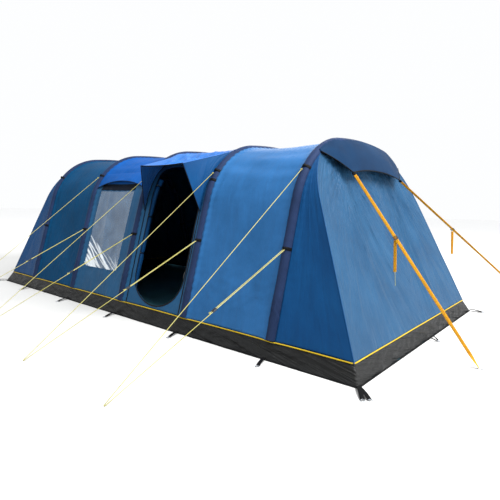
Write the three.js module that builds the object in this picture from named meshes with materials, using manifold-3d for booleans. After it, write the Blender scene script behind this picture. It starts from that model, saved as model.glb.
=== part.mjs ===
// Five-beam inflatable tunnel tent. Millimetres, +Z up, X along the tunnel,
// the side door on -Y. The origin is the middle of the footprint, on the ground.
import * as THREE from 'three';
import { mergeVertices } from 'three/addons/utils/BufferGeometryUtils.js';
import Module from 'manifold-3d';

const wasm = await Module();
wasm.setup();

// Overall sizes
const halfLength = 3165;
const halfWidth = 1700;
const ridgeHeight = 2090;

// Arch: straight legs that lean in, a shoulder arc and a flat roof arc
const legLean = THREE.MathUtils.degToRad(15);
const shoulderRadius = 900;
const roofRadius = 5000;
const shoulderSteps = 6;
const roofSteps = 3;

// Air beams and their sleeves
const beamNames = ['a', 'b', 'c', 'd', 'e'];
const beamPitch = 1140;
const sleeveWidth = 100;
const sleeveWall = 2;
const bladderGap = 1;
const sleeveFootGap = 14;
const bladderFootGap = 6;
const valveHeight = 450;
const valveRadius = 18;
const valvePortGap = 2;
const valveStandOut = 8;
const capRadius = 24;
const capThickness = 12;

// Cloth
const clothThickness = 3;
const flyInset = 40;
const seamGap = 0.4;
const mudWallHeight = 150;
const mudWallThickness = 4;
const floorThickness = 3;
const pipingWidth = 8;
const pipingHeight = 10;
const pipingGap = 4;

// Ends: the slope starts this far below the ridge on the end beam
const endSlopeDrop = 240;
const ventGap = 8;
const hoodStandOff = 109;
const hoodPeakY = 620;
const hoodPeakDrop = 400;
const hoodShoulderRise = 31;
const hoodScallop = 55;
const hoodInset = 18;

// Window between beams b and c
const windowSide = 90;
const windowRight = 180;
const windowBottom = 470;
const windowTop = 1500;
const windowCorner = 40;
const wallSeam = 1600;
const eaveTop = 1720;
const eaveEnd = 1520;
const eaveRise = 80;
const eaveStandOff = 14;

// Side door between beams c and d
const doorLeft = 170;
const doorRight = 120;
const doorBottom = 190;
const doorSpring = 520;
const doorTop = 1790;
const doorCorner = 120;
const doorSeam = 1850;
const zipWidth = 12;
const zipThickness = 2.5;
const rollRadius = 38;
const rollBottom = 330;
const rollTop = 1360;
const rollFromEdge = 32;
const sliderHeight = 600;
const sliderSize = [16, 30, 6];

// Canopy over the door
const canopyReach = 721;
const canopyDrop = 194;
const canopyRootAngle = THREE.MathUtils.degToRad(68);
const canopyLeftInset = 190;
const canopyRightInset = 115;
const wingDepth = 508;
const wingFromSleeve = 25;
const wingDrop = 5;

// Inner tent hung in the end bay
const innerInset = 150;
const innerThickness = 3;
const innerFromBeam = 90;
const innerEndGap = 70;
const innerFloorGap = 4;
const innerDoorWidth = 1300;
const innerDoorHeight = 1450;
const innerDoorSill = 80;

// Guy ropes, runners and storm straps
const ropeDiameter = 6;
const ropeSides = 8;
const anchorUpper = 1690;
const anchorLower = 950;
const anchorStandOff = 14;
const strandGap = 16;
const runnerSize = [34, 14, 46];
const runnerBore = 7.6;
const pegReach = 3100;
const ropeFromGround = 8;
const guyRows = [
  { beam: 1, pegShift: -335, runner: 760 },
  { beam: 2, pegShift: -325, runner: 800 },
  { beam: 3, pegShift: -315, runner: 840 },
  { beam: 4, pegShift: -240, runner: 860 },
];
const webWidth = 30;
const webThickness = 2.4;
const buckleSize = [46, 13, 34];
const buckleSlot = [33, 5];
const strapRows = [
  { side: 'near', peak: -1, lean: 0.2935, pegY: -606, buckleHeight: 1085 },
  { side: 'far', peak: 1, lean: 0.2636, pegY: 3060, buckleHeight: 1105 },
];
const tailLength = 300;

// Materials
const colours = {
  fly: 0x3b6ea8, roof: 0x2c66c4, sleeve: 0x3c4a78, bladder: 0x9aa3ad, mudWall: 0x2b2c2e,
  floor: 0x2f4a52, piping: 0xe8c832, window: 0x8f9cab, mesh: 0x20262e, zip: 0x121316,
  inner: 0x4a4f57, plastic: 0x1b1c1f, rope: 0xe6dc50, webbing: 0xe0a526,
};
const glossy = new Set(['window', 'bladder', 'plastic']);

function material(kind) {
  const roughness = glossy.has(kind) ? 0.35 : 0.8;
  return new THREE.MeshStandardMaterial({ color: colours[kind], roughness, metalness: 0 });
}

const tent = new THREE.Group();
const frontEnd = new THREE.Group();
frontEnd.rotation.z = Math.PI;
tent.add(frontEnd);

function addPart(name, kind, geometry, parent = tent) {
  const part = new THREE.Mesh(geometry, material(kind));
  part.name = name;
  parent.add(part);
  return part;
}

// Solids: closed geometry to manifold and back

function toSolid(geometry) {
  const bare = geometry.clone();
  bare.deleteAttribute('normal');
  bare.deleteAttribute('uv');
  const merged = mergeVertices(bare, 1e-4);
  const vertProperties = new Float32Array(merged.attributes.position.array);
  const triVerts = new Uint32Array(merged.index.array);
  return new wasm.Manifold(new wasm.Mesh({ numProp: 3, vertProperties, triVerts }));
}

function toGeometry(solid) {
  const mesh = solid.getMesh();
  const geometry = new THREE.BufferGeometry();
  geometry.setAttribute('position', new THREE.BufferAttribute(mesh.vertProperties, 3));
  geometry.setIndex(new THREE.BufferAttribute(mesh.triVerts, 1));
  return geometry;
}

const axisX = new THREE.Vector3(1, 0, 0);
const axisY = new THREE.Vector3(0, 1, 0);
const axisZ = new THREE.Vector3(0, 0, 1);

function extruded(shape, depth, right, up, start) {
  const geometry = new THREE.ExtrudeGeometry(shape, { depth, bevelEnabled: false, curveSegments: 8 });
  const out = new THREE.Vector3().crossVectors(right, up);
  geometry.applyMatrix4(new THREE.Matrix4().makeBasis(right, up, out).setPosition(start));
  return geometry;
}

function shapeOf(points) {
  return new THREE.Shape(points.map(([u, v]) => new THREE.Vector2(u, v)));
}

// A Y-Z outline carried along X
function alongX(points, x0, x1) {
  return extruded(shapeOf(points), x1 - x0, axisY, axisZ, new THREE.Vector3(x0, 0, 0));
}

// An X-Z shape carried along Y, from y1 back to y0
function alongY(shape, y0, y1) {
  return extruded(shape, y1 - y0, axisX, axisZ, new THREE.Vector3(0, y1, 0));
}

// An X-Y outline carried up from z0 to z1
function alongZ(points, z0, z1) {
  return extruded(shapeOf(points), z1 - z0, axisX, axisY, new THREE.Vector3(0, 0, z0));
}

function blockSolid(low, high) {
  const size = high.map((value, k) => value - low[k]);
  const block = new THREE.BoxGeometry(...size);
  block.translate(...low.map((value, k) => value + size[k] / 2));
  return toSolid(block);
}

// Arch outlines

function archCentres() {
  const drop = ridgeHeight - roofRadius;
  const spread = roofRadius - shoulderRadius;
  const reach = halfWidth * Math.cos(legLean) - drop * Math.sin(legLean) - shoulderRadius;
  const roofAngle = Math.asin(reach / spread) - legLean;
  const y = spread * Math.sin(roofAngle);
  const z = drop + spread * Math.cos(roofAngle);
  return { drop, roofAngle, y, z };
}

const arch = archCentres();

// Half width of the arch's leg at a height, for an outline set in by inset
function legY(inset, z) {
  const r = shoulderRadius - inset;
  const topY = arch.y + r * Math.cos(legLean);
  const topZ = arch.z + r * Math.sin(legLean);
  return topY + (topZ - z) * Math.tan(legLean);
}

function shoulderPoint(inset, angle) {
  const r = shoulderRadius - inset;
  return [arch.y + r * Math.cos(angle), arch.z + r * Math.sin(angle)];
}

// Half width of the outline at a height anywhere up to the roof arc
function archY(inset, z) {
  const r = shoulderRadius - inset;
  const rise = (z - arch.z) / r;
  return rise < Math.sin(legLean) ? legY(inset, z) : arch.y + r * Math.sqrt(1 - rise * rise);
}

// Outline from the near foot over the ridge to the far foot
function archOutline(inset, footZ) {
  const half = [[legY(inset, footZ), footZ]];
  const last = Math.PI / 2 - arch.roofAngle;
  for (let k = 0; k <= shoulderSteps; k += 1) {
    half.push(shoulderPoint(inset, legLean + ((last - legLean) * k) / shoulderSteps));
  }
  const r = roofRadius - inset;
  for (let k = 1; k <= roofSteps; k += 1) {
    const angle = arch.roofAngle * (1 - k / roofSteps);
    half.push([r * Math.sin(angle), arch.drop + r * Math.cos(angle)]);
  }
  const near = half.map(([y, z]) => [-y, z]);
  return near.concat(half.slice(0, -1).reverse());
}

function archBand(inset, thickness, footZ, x0, x1) {
  const outer = archOutline(inset, footZ);
  const inner = archOutline(inset + thickness, footZ).reverse();
  return alongX(outer.concat(inner), x0, x1);
}

function archSolid(inset, footZ, x0, x1) {
  return toSolid(alongX(archOutline(inset, footZ), x0, x1));
}

const beamX = (index) => (index - (beamNames.length - 1) / 2) * beamPitch;
const sleeveHalf = sleeveWidth / 2;
const bayStart = (bay) => beamX(bay) + sleeveHalf + seamGap;
const bayEnd = (bay) => beamX(bay + 1) - sleeveHalf - seamGap;
const flyFootZ = mudWallHeight + seamGap;
const endFaceX = beamX(beamNames.length - 1) + sleeveHalf + seamGap;
const splay = halfWidth - legY(flyInset, mudWallHeight);
const endFootX = halfLength - splay;
const endSlopeTop = ridgeHeight - endSlopeDrop;
const endSlope = (endFootX - endFaceX) / (endSlopeTop - mudWallHeight);
const endX = (z, inset) => endFootX - (z - mudWallHeight) * endSlope - inset;
const farAway = 2 * halfLength;
const hoodPeakZ = ridgeHeight - hoodPeakDrop;
const hoodPeakX = endX(hoodPeakZ, -hoodStandOff);
const hoodShoulderY = archY(hoodInset, endSlopeTop + hoodShoulderRise);

// Everything on the outdoor side of the sloped end, moved in by inset
function beyondEnd(inset) {
  const points = [
    [endX(-100, inset), -100],
    [farAway, -100],
    [farAway, 2 * ridgeHeight],
    [endX(2 * ridgeHeight, inset), 2 * ridgeHeight],
  ];
  return toSolid(alongY(shapeOf(points), -farAway, farAway));
}

// A curve that is sampled only at its own points

class PointRoute extends THREE.Curve {
  constructor(points) {
    super();
    this.points = points;
  }

  getPointAt(u) {
    const scaled = u * (this.points.length - 1);
    const index = Math.min(Math.floor(scaled + 1e-6), this.points.length - 2);
    return this.points[index].clone().lerp(this.points[index + 1], scaled - index);
  }

  getSpacedPoints() {
    return this.points.map((point) => point.clone());
  }

  getTangentAt(u) {
    const last = this.points.length - 1;
    const index = Math.round(u * last);
    const before = this.points[Math.max(index - 1, 0)];
    const here = this.points[index];
    const after = this.points[Math.min(index + 1, last)];
    const arriving = here.clone().sub(before).normalize();
    const leaving = after.clone().sub(here).normalize();
    return arriving.add(leaving).normalize();
  }
}

function alongRoute(shape, points) {
  const extrudePath = new PointRoute(points);
  const steps = points.length - 1;
  return new THREE.ExtrudeGeometry(shape, { steps, bevelEnabled: false, curveSegments: 1, extrudePath });
}

function polygonPoints(sides, acrossFlats) {
  const radius = acrossFlats / 2 / Math.cos(Math.PI / sides);
  const corner = (k) => ((k + 0.5) * 2 * Math.PI) / sides;
  const points = Array.from({ length: sides }, (unused, k) => corner(k));
  return points.map((angle) => [radius * Math.cos(angle), radius * Math.sin(angle)]);
}

// Air beams, sleeves and valves

const legUp = new THREE.Vector3(0, Math.sin(legLean), Math.cos(legLean));
const legInward = new THREE.Vector3(0, Math.cos(legLean), -Math.sin(legLean));

function beamRoute(x, footZ) {
  return archOutline(sleeveHalf, footZ).map(([y, z]) => new THREE.Vector3(x, y, z));
}

function discAlong(direction, centre, radius, from, to, sides) {
  const disc = new THREE.CylinderGeometry(radius, radius, to - from, sides);
  disc.translate(0, (from + to) / 2, 0);
  disc.applyQuaternion(new THREE.Quaternion().setFromUnitVectors(axisY, direction));
  disc.translate(centre.x, centre.y, centre.z);
  return disc;
}

function valveCentre(x) {
  return new THREE.Vector3(x, -legY(sleeveHalf, valveHeight), valveHeight);
}

function addBeam(index) {
  const x = beamX(index);
  const footZ = mudWallHeight + sleeveFootGap;
  const valve = valveCentre(x);
  const bossTop = sleeveHalf + valveStandOut;
  const innerWidth = sleeveWidth - 2 * sleeveWall;
  const ring = shapeOf(polygonPoints(8, sleeveWidth));
  ring.holes.push(shapeOf(polygonPoints(8, innerWidth)));
  const port = discAlong(legInward, valve, valveRadius + valvePortGap, 0, sleeveWidth, 16);
  const sleeve = toSolid(alongRoute(ring, beamRoute(x, footZ))).subtract(toSolid(port));
  addPart(`beam_sleeve_${beamNames[index]}`, 'sleeve', toGeometry(sleeve));
  const tube = shapeOf(polygonPoints(8, innerWidth - 2 * bladderGap));
  const bladder = toSolid(alongRoute(tube, beamRoute(x, footZ + bladderFootGap)));
  const boss = toSolid(discAlong(legInward, valve, valveRadius, 0, bossTop, 16));
  addPart(`air_beam_${beamNames[index]}`, 'bladder', toGeometry(bladder.add(boss)));
  const capFrom = bossTop + seamGap;
  const cap = discAlong(legInward, valve, capRadius, capFrom, capFrom + capThickness, 20);
  addPart(`valve_cap_${beamNames[index]}`, 'plastic', cap);
}

// Floor, mud wall and piping

function mudWallSection(half) {
  const top = half - splay;
  const foot = [[half, 0], [top, mudWallHeight]];
  return foot.concat([[top - mudWallThickness, mudWallHeight], [half - mudWallThickness, 0]]);
}

// The space inside the four mud walls' outer faces, moved in by inset
function mudWallCore(inset, acrossX) {
  const half = (acrossX ? halfLength : halfWidth) - inset;
  const top = half - splay;
  const points = [[-half, 0], [half, 0], [top, mudWallHeight], [-top, mudWallHeight]];
  return acrossX ? alongY(shapeOf(points), -farAway, farAway) : alongX(points, -farAway, farAway);
}

function addMudWalls() {
  const ends = toSolid(mudWallCore(0, true));
  const sides = toSolid(mudWallCore(mudWallThickness + seamGap, false));
  const farSection = mudWallSection(halfWidth);
  const nearSection = farSection.map(([y, z]) => [-y, z]);
  const farWall = toSolid(alongX(farSection, -farAway, farAway)).intersect(ends);
  const nearWall = toSolid(alongX(nearSection.reverse(), -farAway, farAway)).intersect(ends);
  const endSection = shapeOf(mudWallSection(halfLength));
  const endWall = toGeometry(toSolid(alongY(endSection, -farAway, farAway)).intersect(sides));
  addPart('mud_wall_far', 'mudWall', toGeometry(farWall));
  addPart('mud_wall_near', 'mudWall', toGeometry(nearWall));
  addPart('mud_wall_rear', 'mudWall', endWall);
  addPart('mud_wall_front', 'mudWall', endWall.clone(), frontEnd);
}

function rectangle(halfX, halfY) {
  return [[-halfX, -halfY], [halfX, -halfY], [halfX, halfY], [-halfX, halfY]];
}

function addFloor() {
  const leanIn = (splay * floorThickness) / mudWallHeight;
  const inset = mudWallThickness + leanIn + seamGap;
  addPart('floor_sheet', 'floor', alongZ(rectangle(halfLength - inset, halfWidth - inset), 0, floorThickness));
}

function addPiping() {
  const innerX = halfLength - splay + pipingGap;
  const innerY = halfWidth - splay + pipingGap;
  const low = mudWallHeight - pipingHeight / 2;
  const high = mudWallHeight + pipingHeight / 2;
  const outer = toSolid(alongZ(rectangle(innerX + pipingWidth, innerY + pipingWidth), low, high));
  const hole = toSolid(alongZ(rectangle(innerX, innerY), low - 1, high + 1));
  addPart('piping', 'piping', toGeometry(outer.subtract(hole)));
}

// Fly

function nearSideBelow(z, x0, x1) {
  return blockSolid([x0 - 1, -farAway, -1], [x1 + 1, 0, z]);
}

function flyBay(bay) {
  return toSolid(archBand(flyInset, clothThickness, flyFootZ, bayStart(bay), bayEnd(bay)));
}

function windowShape(shrink) {
  const x0 = bayStart(1) + windowSide + shrink;
  const x1 = bayEnd(1) - windowRight - shrink;
  const z0 = windowBottom + shrink;
  const z1 = windowTop - shrink;
  const r = windowCorner;
  const shape = new THREE.Shape();
  shape.moveTo(x0 + r, z0);
  shape.lineTo(x1 - r, z0);
  shape.absarc(x1 - r, z0 + r, r, -Math.PI / 2, 0);
  shape.lineTo(x1, z1);
  shape.lineTo(x0, z1);
  shape.lineTo(x0, z0 + r);
  shape.absarc(x0 + r, z0 + r, r, Math.PI, (3 * Math.PI) / 2);
  return shape;
}

const doorX0 = beamX(2) + doorLeft;
const doorX1 = beamX(3) - doorRight;

function doorShape(grow) {
  const x0 = doorX0 - grow;
  const x1 = doorX1 + grow;
  const top = doorTop + grow;
  const r = doorCorner + grow;
  const middle = (x0 + x1) / 2;
  const shape = new THREE.Shape();
  shape.moveTo(x0, doorSpring);
  shape.absellipse(middle, doorSpring, (x1 - x0) / 2, doorSpring - doorBottom + grow, Math.PI, 2 * Math.PI);
  shape.lineTo(x1, top - r);
  shape.absarc(x1 - r, top - r, r, 0, Math.PI / 2);
  shape.lineTo(x0 + r, top);
  shape.absarc(x0 + r, top - r, r, Math.PI / 2, Math.PI);
  return shape;
}

function throughNearSide(shape) {
  return toSolid(alongY(shape, -farAway, 0));
}

function addFly() {
  addPart('fly_bay_ab', 'fly', toGeometry(flyBay(0)));
  addPart('fly_bay_de', 'fly', toGeometry(flyBay(3)));
  const rows = [
    { bay: 1, seam: wallSeam, roof: 'fly_bay_bc', wall: 'window_wall', hole: windowShape(0) },
    { bay: 2, seam: doorSeam, roof: 'fly_bay_cd', wall: 'door_wall', hole: doorShape(0) },
  ];
  for (const { bay, seam, roof, wall, hole } of rows) {
    const whole = flyBay(bay);
    const lower = nearSideBelow(seam, bayStart(bay), bayEnd(bay));
    const kept = nearSideBelow(seam - seamGap, bayStart(bay), bayEnd(bay));
    addPart(roof, 'roof', toGeometry(whole.subtract(lower)));
    addPart(wall, 'fly', toGeometry(whole.intersect(kept).subtract(throughNearSide(hole))));
  }
}

function addWindow() {
  const band = toSolid(archBand(flyInset, clothThickness, flyFootZ, bayStart(1), bayEnd(1)));
  const pane = band.intersect(throughNearSide(windowShape(seamGap)));
  addPart('window_pane', 'window', toGeometry(pane));
  const x0 = bayStart(1);
  const x1 = bayEnd(1);
  const outline = new THREE.Shape();
  outline.moveTo(x0, eaveEnd);
  outline.quadraticCurveTo((x0 + x1) / 2, eaveEnd + 2 * eaveRise, x1, eaveEnd);
  outline.lineTo(x1, eaveTop);
  outline.lineTo(x0, eaveTop);
  const skin = toSolid(archBand(flyInset - eaveStandOff, clothThickness, flyFootZ, x0, x1));
  addPart('window_eave', 'roof', toGeometry(skin.intersect(throughNearSide(outline))));
}

function addDoor() {
  const outside = flyInset - seamGap - zipThickness;
  const band = toSolid(archBand(outside, zipThickness, flyFootZ, bayStart(2), bayEnd(2)));
  const tape = throughNearSide(doorShape(zipWidth)).subtract(throughNearSide(doorShape(1)));
  addPart('door_zip', 'zip', toGeometry(band.intersect(tape)));
  const rollInset = flyInset + clothThickness + rollRadius + 10;
  const rollX = doorX0 - rollFromEdge;
  const rollEnds = [rollBottom, rollTop].map((z) => new THREE.Vector3(rollX, -legY(rollInset, z), z));
  addPart('door_roll', 'fly', alongRoute(shapeOf(polygonPoints(12, 2 * rollRadius)), rollEnds));
  const seat = outside - seamGap;
  const [width, length, height] = sliderSize;
  const slider = new THREE.Mesh(new THREE.BoxGeometry(width, height, length), material('plastic'));
  slider.name = 'door_slider';
  slider.rotation.x = -legLean;
  const centreInset = seat - height / 2;
  slider.position.set(doorX1 + zipWidth / 2, -legY(centreInset, sliderHeight), sliderHeight);
  tent.add(slider);
}

// Canopy over the door

const canopyCorners = [bayStart(2) + canopyLeftInset, bayEnd(2) - canopyRightInset];

function canopyRoot() {
  const [y, z] = shoulderPoint(flyInset - 2 * seamGap, canopyRootAngle);
  return [-y, z];
}

function slab(corners, thickness) {
  const [a, b, c] = corners;
  const right = b.clone().sub(a).normalize();
  const out = right.clone().cross(c.clone().sub(a)).normalize();
  const up = out.clone().cross(right);
  const flat = corners.map((p) => p.clone().sub(a)).map((p) => [p.dot(right), p.dot(up)]);
  return toSolid(extruded(shapeOf(flat), thickness, right, up, a));
}

function addCanopy() {
  const [rootY, rootZ] = canopyRoot();
  const [left, right] = canopyCorners;
  const x0 = bayStart(2);
  const x1 = bayEnd(2);
  const tipY = rootY - canopyReach;
  const plane = (z) => [tipY, z - canopyDrop];
  const section = [plane(rootZ), [rootY, rootZ], [rootY, rootZ + clothThickness], plane(rootZ + clothThickness)];
  const plan = [[x0, rootY + 1], [left, tipY], [right, tipY], [x1, rootY + 1]];
  const sheet = toSolid(alongX(section, x0, x1)).intersect(toSolid(alongZ(plan, 0, farAway)));
  addPart('canopy_roof', 'roof', toGeometry(sheet));
  const body = archSolid(flyInset - zipThickness - 3 * seamGap, flyFootZ, x0 - 1, x1 + 1);
  const tipZ = rootZ - canopyDrop - wingDrop;
  const footZ = tipZ - wingDepth;
  const footY = -archY(flyInset, footZ);
  const rows = [
    { name: 'canopy_wing_left', tipX: left + 3, wallX: x0 + wingFromSleeve },
    { name: 'canopy_wing_right', tipX: right - 3, wallX: x1 - wingFromSleeve },
  ];
  for (const { name, tipX, wallX } of rows) {
    const tip = new THREE.Vector3(tipX, tipY, tipZ);
    const top = new THREE.Vector3(wallX, rootY, rootZ - wingDrop);
    const foot = new THREE.Vector3(wallX, footY, footZ);
    const wing = slab([tip, foot, top], clothThickness).subtract(body);
    addPart(name, 'roof', toGeometry(wing));
  }
}

// Sloped ends

// A closed sheet over a grid of points, thickened by a fixed offset
function gridSheet(rows, offset) {
  const width = rows[0].length;
  const top = rows.flat();
  const all = top.concat(top.map((point) => point.clone().add(offset)));
  const at = (row, column, layer) => layer * top.length + row * width + column;
  const index = [];
  const quad = (a, b, c, d) => index.push(a, b, c, a, c, d);
  for (let r = 0; r < rows.length - 1; r += 1) {
    for (let c = 0; c < width - 1; c += 1) {
      quad(at(r, c, 0), at(r, c + 1, 0), at(r + 1, c + 1, 0), at(r + 1, c, 0));
      quad(at(r, c, 1), at(r + 1, c, 1), at(r + 1, c + 1, 1), at(r, c + 1, 1));
    }
    quad(at(r, 0, 1), at(r, 0, 0), at(r + 1, 0, 0), at(r + 1, 0, 1));
    quad(at(r, width - 1, 0), at(r, width - 1, 1), at(r + 1, width - 1, 1), at(r + 1, width - 1, 0));
  }
  for (let c = 0; c < width - 1; c += 1) {
    const last = rows.length - 1;
    quad(at(0, c, 1), at(0, c + 1, 1), at(0, c + 1, 0), at(0, c, 0));
    quad(at(last, c, 0), at(last, c + 1, 0), at(last, c + 1, 1), at(last, c, 1));
  }
  const geometry = new THREE.BufferGeometry().setFromPoints(all);
  geometry.setIndex(index);
  return geometry;
}

function hoodRootZ(y) {
  const angle = Math.asin(y / (roofRadius - hoodInset));
  const onRoof = angle < arch.roofAngle;
  const r = shoulderRadius - hoodInset;
  const roofZ = arch.drop + (roofRadius - hoodInset) * Math.cos(angle);
  return onRoof ? roofZ : arch.z + Math.sqrt(r * r - (y - arch.y) ** 2);
}

// Edge of the hood at a place from 0, the near shoulder, to 1, the far one
function hoodEdge(place, rootX) {
  const side = place < 0.5 ? -1 : 1;
  const fromSide = Math.min(place, 1 - place);
  const peakPlace = 0.22;
  if (fromSide < peakPlace) {
    const part = fromSide / peakPlace;
    const shoulder = new THREE.Vector3(rootX + 12, side * hoodShoulderY, hoodRootZ(hoodShoulderY) - 12);
    return shoulder.lerp(new THREE.Vector3(hoodPeakX, side * hoodPeakY, hoodPeakZ), part);
  }
  const y = (place - 0.5) / (0.5 - peakPlace);
  return new THREE.Vector3(hoodPeakX, y * hoodPeakY, hoodPeakZ + hoodScallop * (1 - y * y));
}

function hoodGeometry() {
  const columns = 18;
  const rowCount = 4;
  const rootX = endFaceX + seamGap;
  const rows = [];
  for (let r = 0; r <= rowCount; r += 1) {
    const row = [];
    for (let c = 0; c <= columns; c += 1) {
      const place = c / columns;
      const y = hoodShoulderY * (2 * place - 1);
      const root = new THREE.Vector3(rootX, y, hoodRootZ(Math.abs(y)));
      row.push(root.lerp(hoodEdge(place, rootX), r / rowCount));
    }
    rows.push(row);
  }
  return gridSheet(rows.reverse(), new THREE.Vector3(0, 0, -clothThickness));
}

function addEnd(endName, parent, swap) {
  const outside = beyondEnd(0);
  const band = toSolid(archBand(flyInset, clothThickness, flyFootZ, endFaceX, farAway));
  const wrap = band.subtract(outside);
  const nearHalf = blockSolid([0, -farAway, -1], [farAway, 0, farAway]);
  const farHalf = blockSolid([0, 0, -1], [farAway, farAway, farAway]);
  const [nearName, farName] = swap ? ['far', 'near'] : ['near', 'far'];
  const below = blockSolid([0, -farAway, -1], [farAway, farAway, endSlopeTop - ventGap]);
  addPart(`${endName}_side_${nearName}`, 'fly', toGeometry(wrap.intersect(nearHalf).intersect(below)), parent);
  addPart(`${endName}_side_${farName}`, 'fly', toGeometry(wrap.intersect(farHalf).intersect(below)), parent);
  const lining = archSolid(flyInset + clothThickness + seamGap, flyFootZ, endFaceX, farAway);
  const depth = clothThickness / Math.cos(Math.atan(endSlope));
  const panel = lining.subtract(outside).intersect(beyondEnd(depth)).intersect(below);
  addPart(`${endName}_panel`, 'fly', toGeometry(panel), parent);
  const ventLow = blockSolid([0, -farAway, endSlopeTop + ventGap], [farAway, farAway, farAway]);
  const vent = archSolid(flyInset + clothThickness, flyFootZ, endFaceX, endFaceX + clothThickness);
  addPart(`${endName}_vent`, 'mesh', toGeometry(vent.intersect(ventLow)), parent);
  addPart(`${endName}_hood`, 'fly', hoodGeometry(), parent);
}

// Inner tent: a closed cloth room with a doorway towards the cabin

function addInnerTent() {
  const x0 = beamX(3) + innerFromBeam;
  const footZ = floorThickness + innerFloorGap;
  const gap = innerEndGap;
  const room = archSolid(innerInset, footZ, x0, farAway).subtract(beyondEnd(gap));
  const t = innerThickness;
  const hollow = archSolid(innerInset + t, footZ + t, x0 + t, farAway).subtract(beyondEnd(gap + t));
  const sill = footZ + innerDoorSill;
  const half = innerDoorWidth / 2;
  const doorway = blockSolid([x0 - 1, -half, sill], [x0 + 2 * t, half, sill + innerDoorHeight]);
  addPart('inner_tent', 'inner', toGeometry(room.subtract(hollow).subtract(doorway)));
}

// Guy ropes and runners

function anchorPoint(x, z) {
  return new THREE.Vector3(x, -archY(-anchorStandOff, z), z);
}

function sideAcross(direction) {
  return new THREE.Vector3().crossVectors(direction, axisZ).normalize();
}

function halfTurn(centre, from, forward, count) {
  const points = [];
  for (let k = 1; k < count; k += 1) {
    const angle = (Math.PI * k) / count;
    const point = centre.clone().addScaledVector(from, Math.cos(angle));
    points.push(point.addScaledVector(forward, Math.sin(angle) * from.length()));
  }
  return points;
}

function straight(from, to, count) {
  return Array.from({ length: count + 1 }, (unused, k) => from.clone().lerp(to, k / count));
}

// Upper loop to the peg, back up to the lower loop, and down again through the runner
function guyRoute({ beam, pegShift, runner }) {
  const x = beamX(beam);
  const upper = anchorPoint(x, anchorUpper);
  const lower = anchorPoint(x, anchorLower);
  const peg = new THREE.Vector3(x + pegShift, -pegReach, ropeFromGround);
  const half = strandGap / 2;
  const toPeg = peg.clone().sub(lower).normalize();
  const across = sideAcross(toPeg).multiplyScalar(half);
  const flatOut = new THREE.Vector3(toPeg.x, toPeg.y, 0).normalize();
  const main = straight(peg.clone().sub(across), lower.clone().sub(across), 8);
  const back = straight(lower.clone().add(across), lower.clone().add(across).addScaledVector(toPeg, runner + 60), 4);
  const down = straight(upper, peg.clone().add(across), 8);
  const pegTurn = halfTurn(peg, across, flatOut, 6);
  const loopTurn = halfTurn(lower, across.clone().negate(), toPeg.clone().negate(), 6);
  return { points: [...down, ...pegTurn, ...main, ...loopTurn, ...back], lower, toPeg, across };
}

function addGuy(row) {
  const name = beamNames[row.beam];
  const { points, lower, toPeg, across } = guyRoute(row);
  const section = shapeOf(polygonPoints(ropeSides, ropeDiameter));
  addPart(`guy_${name}`, 'rope', alongRoute(section, points));
  const [width, height, length] = runnerSize;
  const plate = shapeOf(rectangle(width / 2, height / 2));
  for (const side of [-1, 1]) {
    const bore = new THREE.Path();
    bore.absarc((side * strandGap) / 2, 0, runnerBore / 2, 0, 2 * Math.PI);
    plate.holes.push(bore);
  }
  const start = lower.clone().addScaledVector(toPeg, row.runner);
  const right = across.clone().normalize();
  const up = toPeg.clone().cross(right);
  addPart(`runner_${name}`, 'plastic', extruded(plate, length, right, up, start));
}

// Storm straps from the hood's peaks, with ladderlock buckles and loose tails

function addStormStrap({ side, peak, lean, pegY, buckleHeight }) {
  const top = new THREE.Vector3(hoodPeakX + 8, peak * (hoodPeakY + 3), hoodPeakZ - 10);
  const footX = top.x + (top.z - ropeFromGround) * (endSlope + lean);
  const foot = new THREE.Vector3(footX, pegY, ropeFromGround);
  const along = foot.clone().sub(top).normalize();
  const right = sideAcross(along);
  const up = right.clone().cross(along);
  const strap = shapeOf(rectangle(webWidth / 2, webThickness / 2));
  addPart(`storm_strap_${side}`, 'webbing', extruded(strap, top.distanceTo(foot), right, up.negate(), top));
  const frame = shapeOf(rectangle(buckleSize[0] / 2, buckleSize[1] / 2));
  frame.holes.push(shapeOf(rectangle(buckleSlot[0] / 2, buckleSlot[1] / 2)));
  const place = top.clone().addScaledVector(along, (buckleHeight - top.z) / along.z);
  addPart(`strap_buckle_${side}`, 'plastic', extruded(frame, buckleSize[2], right, up, place));
  const tail = shapeOf(rectangle(webWidth / 2, webThickness / 2));
  const under = place.clone().addScaledVector(along, buckleSize[2] / 2);
  const outward = new THREE.Vector3().crossVectors(axisZ, right).normalize();
  const drop = buckleSize[1] / 2 + 2;
  const start = under.add(new THREE.Vector3(0, 0, -drop - buckleSize[2] / 2));
  start.z -= tailLength;
  addPart(`strap_tail_${side}`, 'webbing', extruded(tail, tailLength, right, outward, start));
}

beamNames.forEach((unused, index) => addBeam(index));
addMudWalls();
addFloor();
addPiping();
addFly();
addWindow();
addDoor();
addCanopy();
addEnd('rear', tent, false);
addEnd('front', frontEnd, true);
addInnerTent();
guyRows.forEach(addGuy);
strapRows.forEach(addStormStrap);

export default tent;
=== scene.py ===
import math

import bpy
from bpy.props import FloatProperty, FloatVectorProperty, PointerProperty
from mathutils import Matrix, Vector, noise


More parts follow.
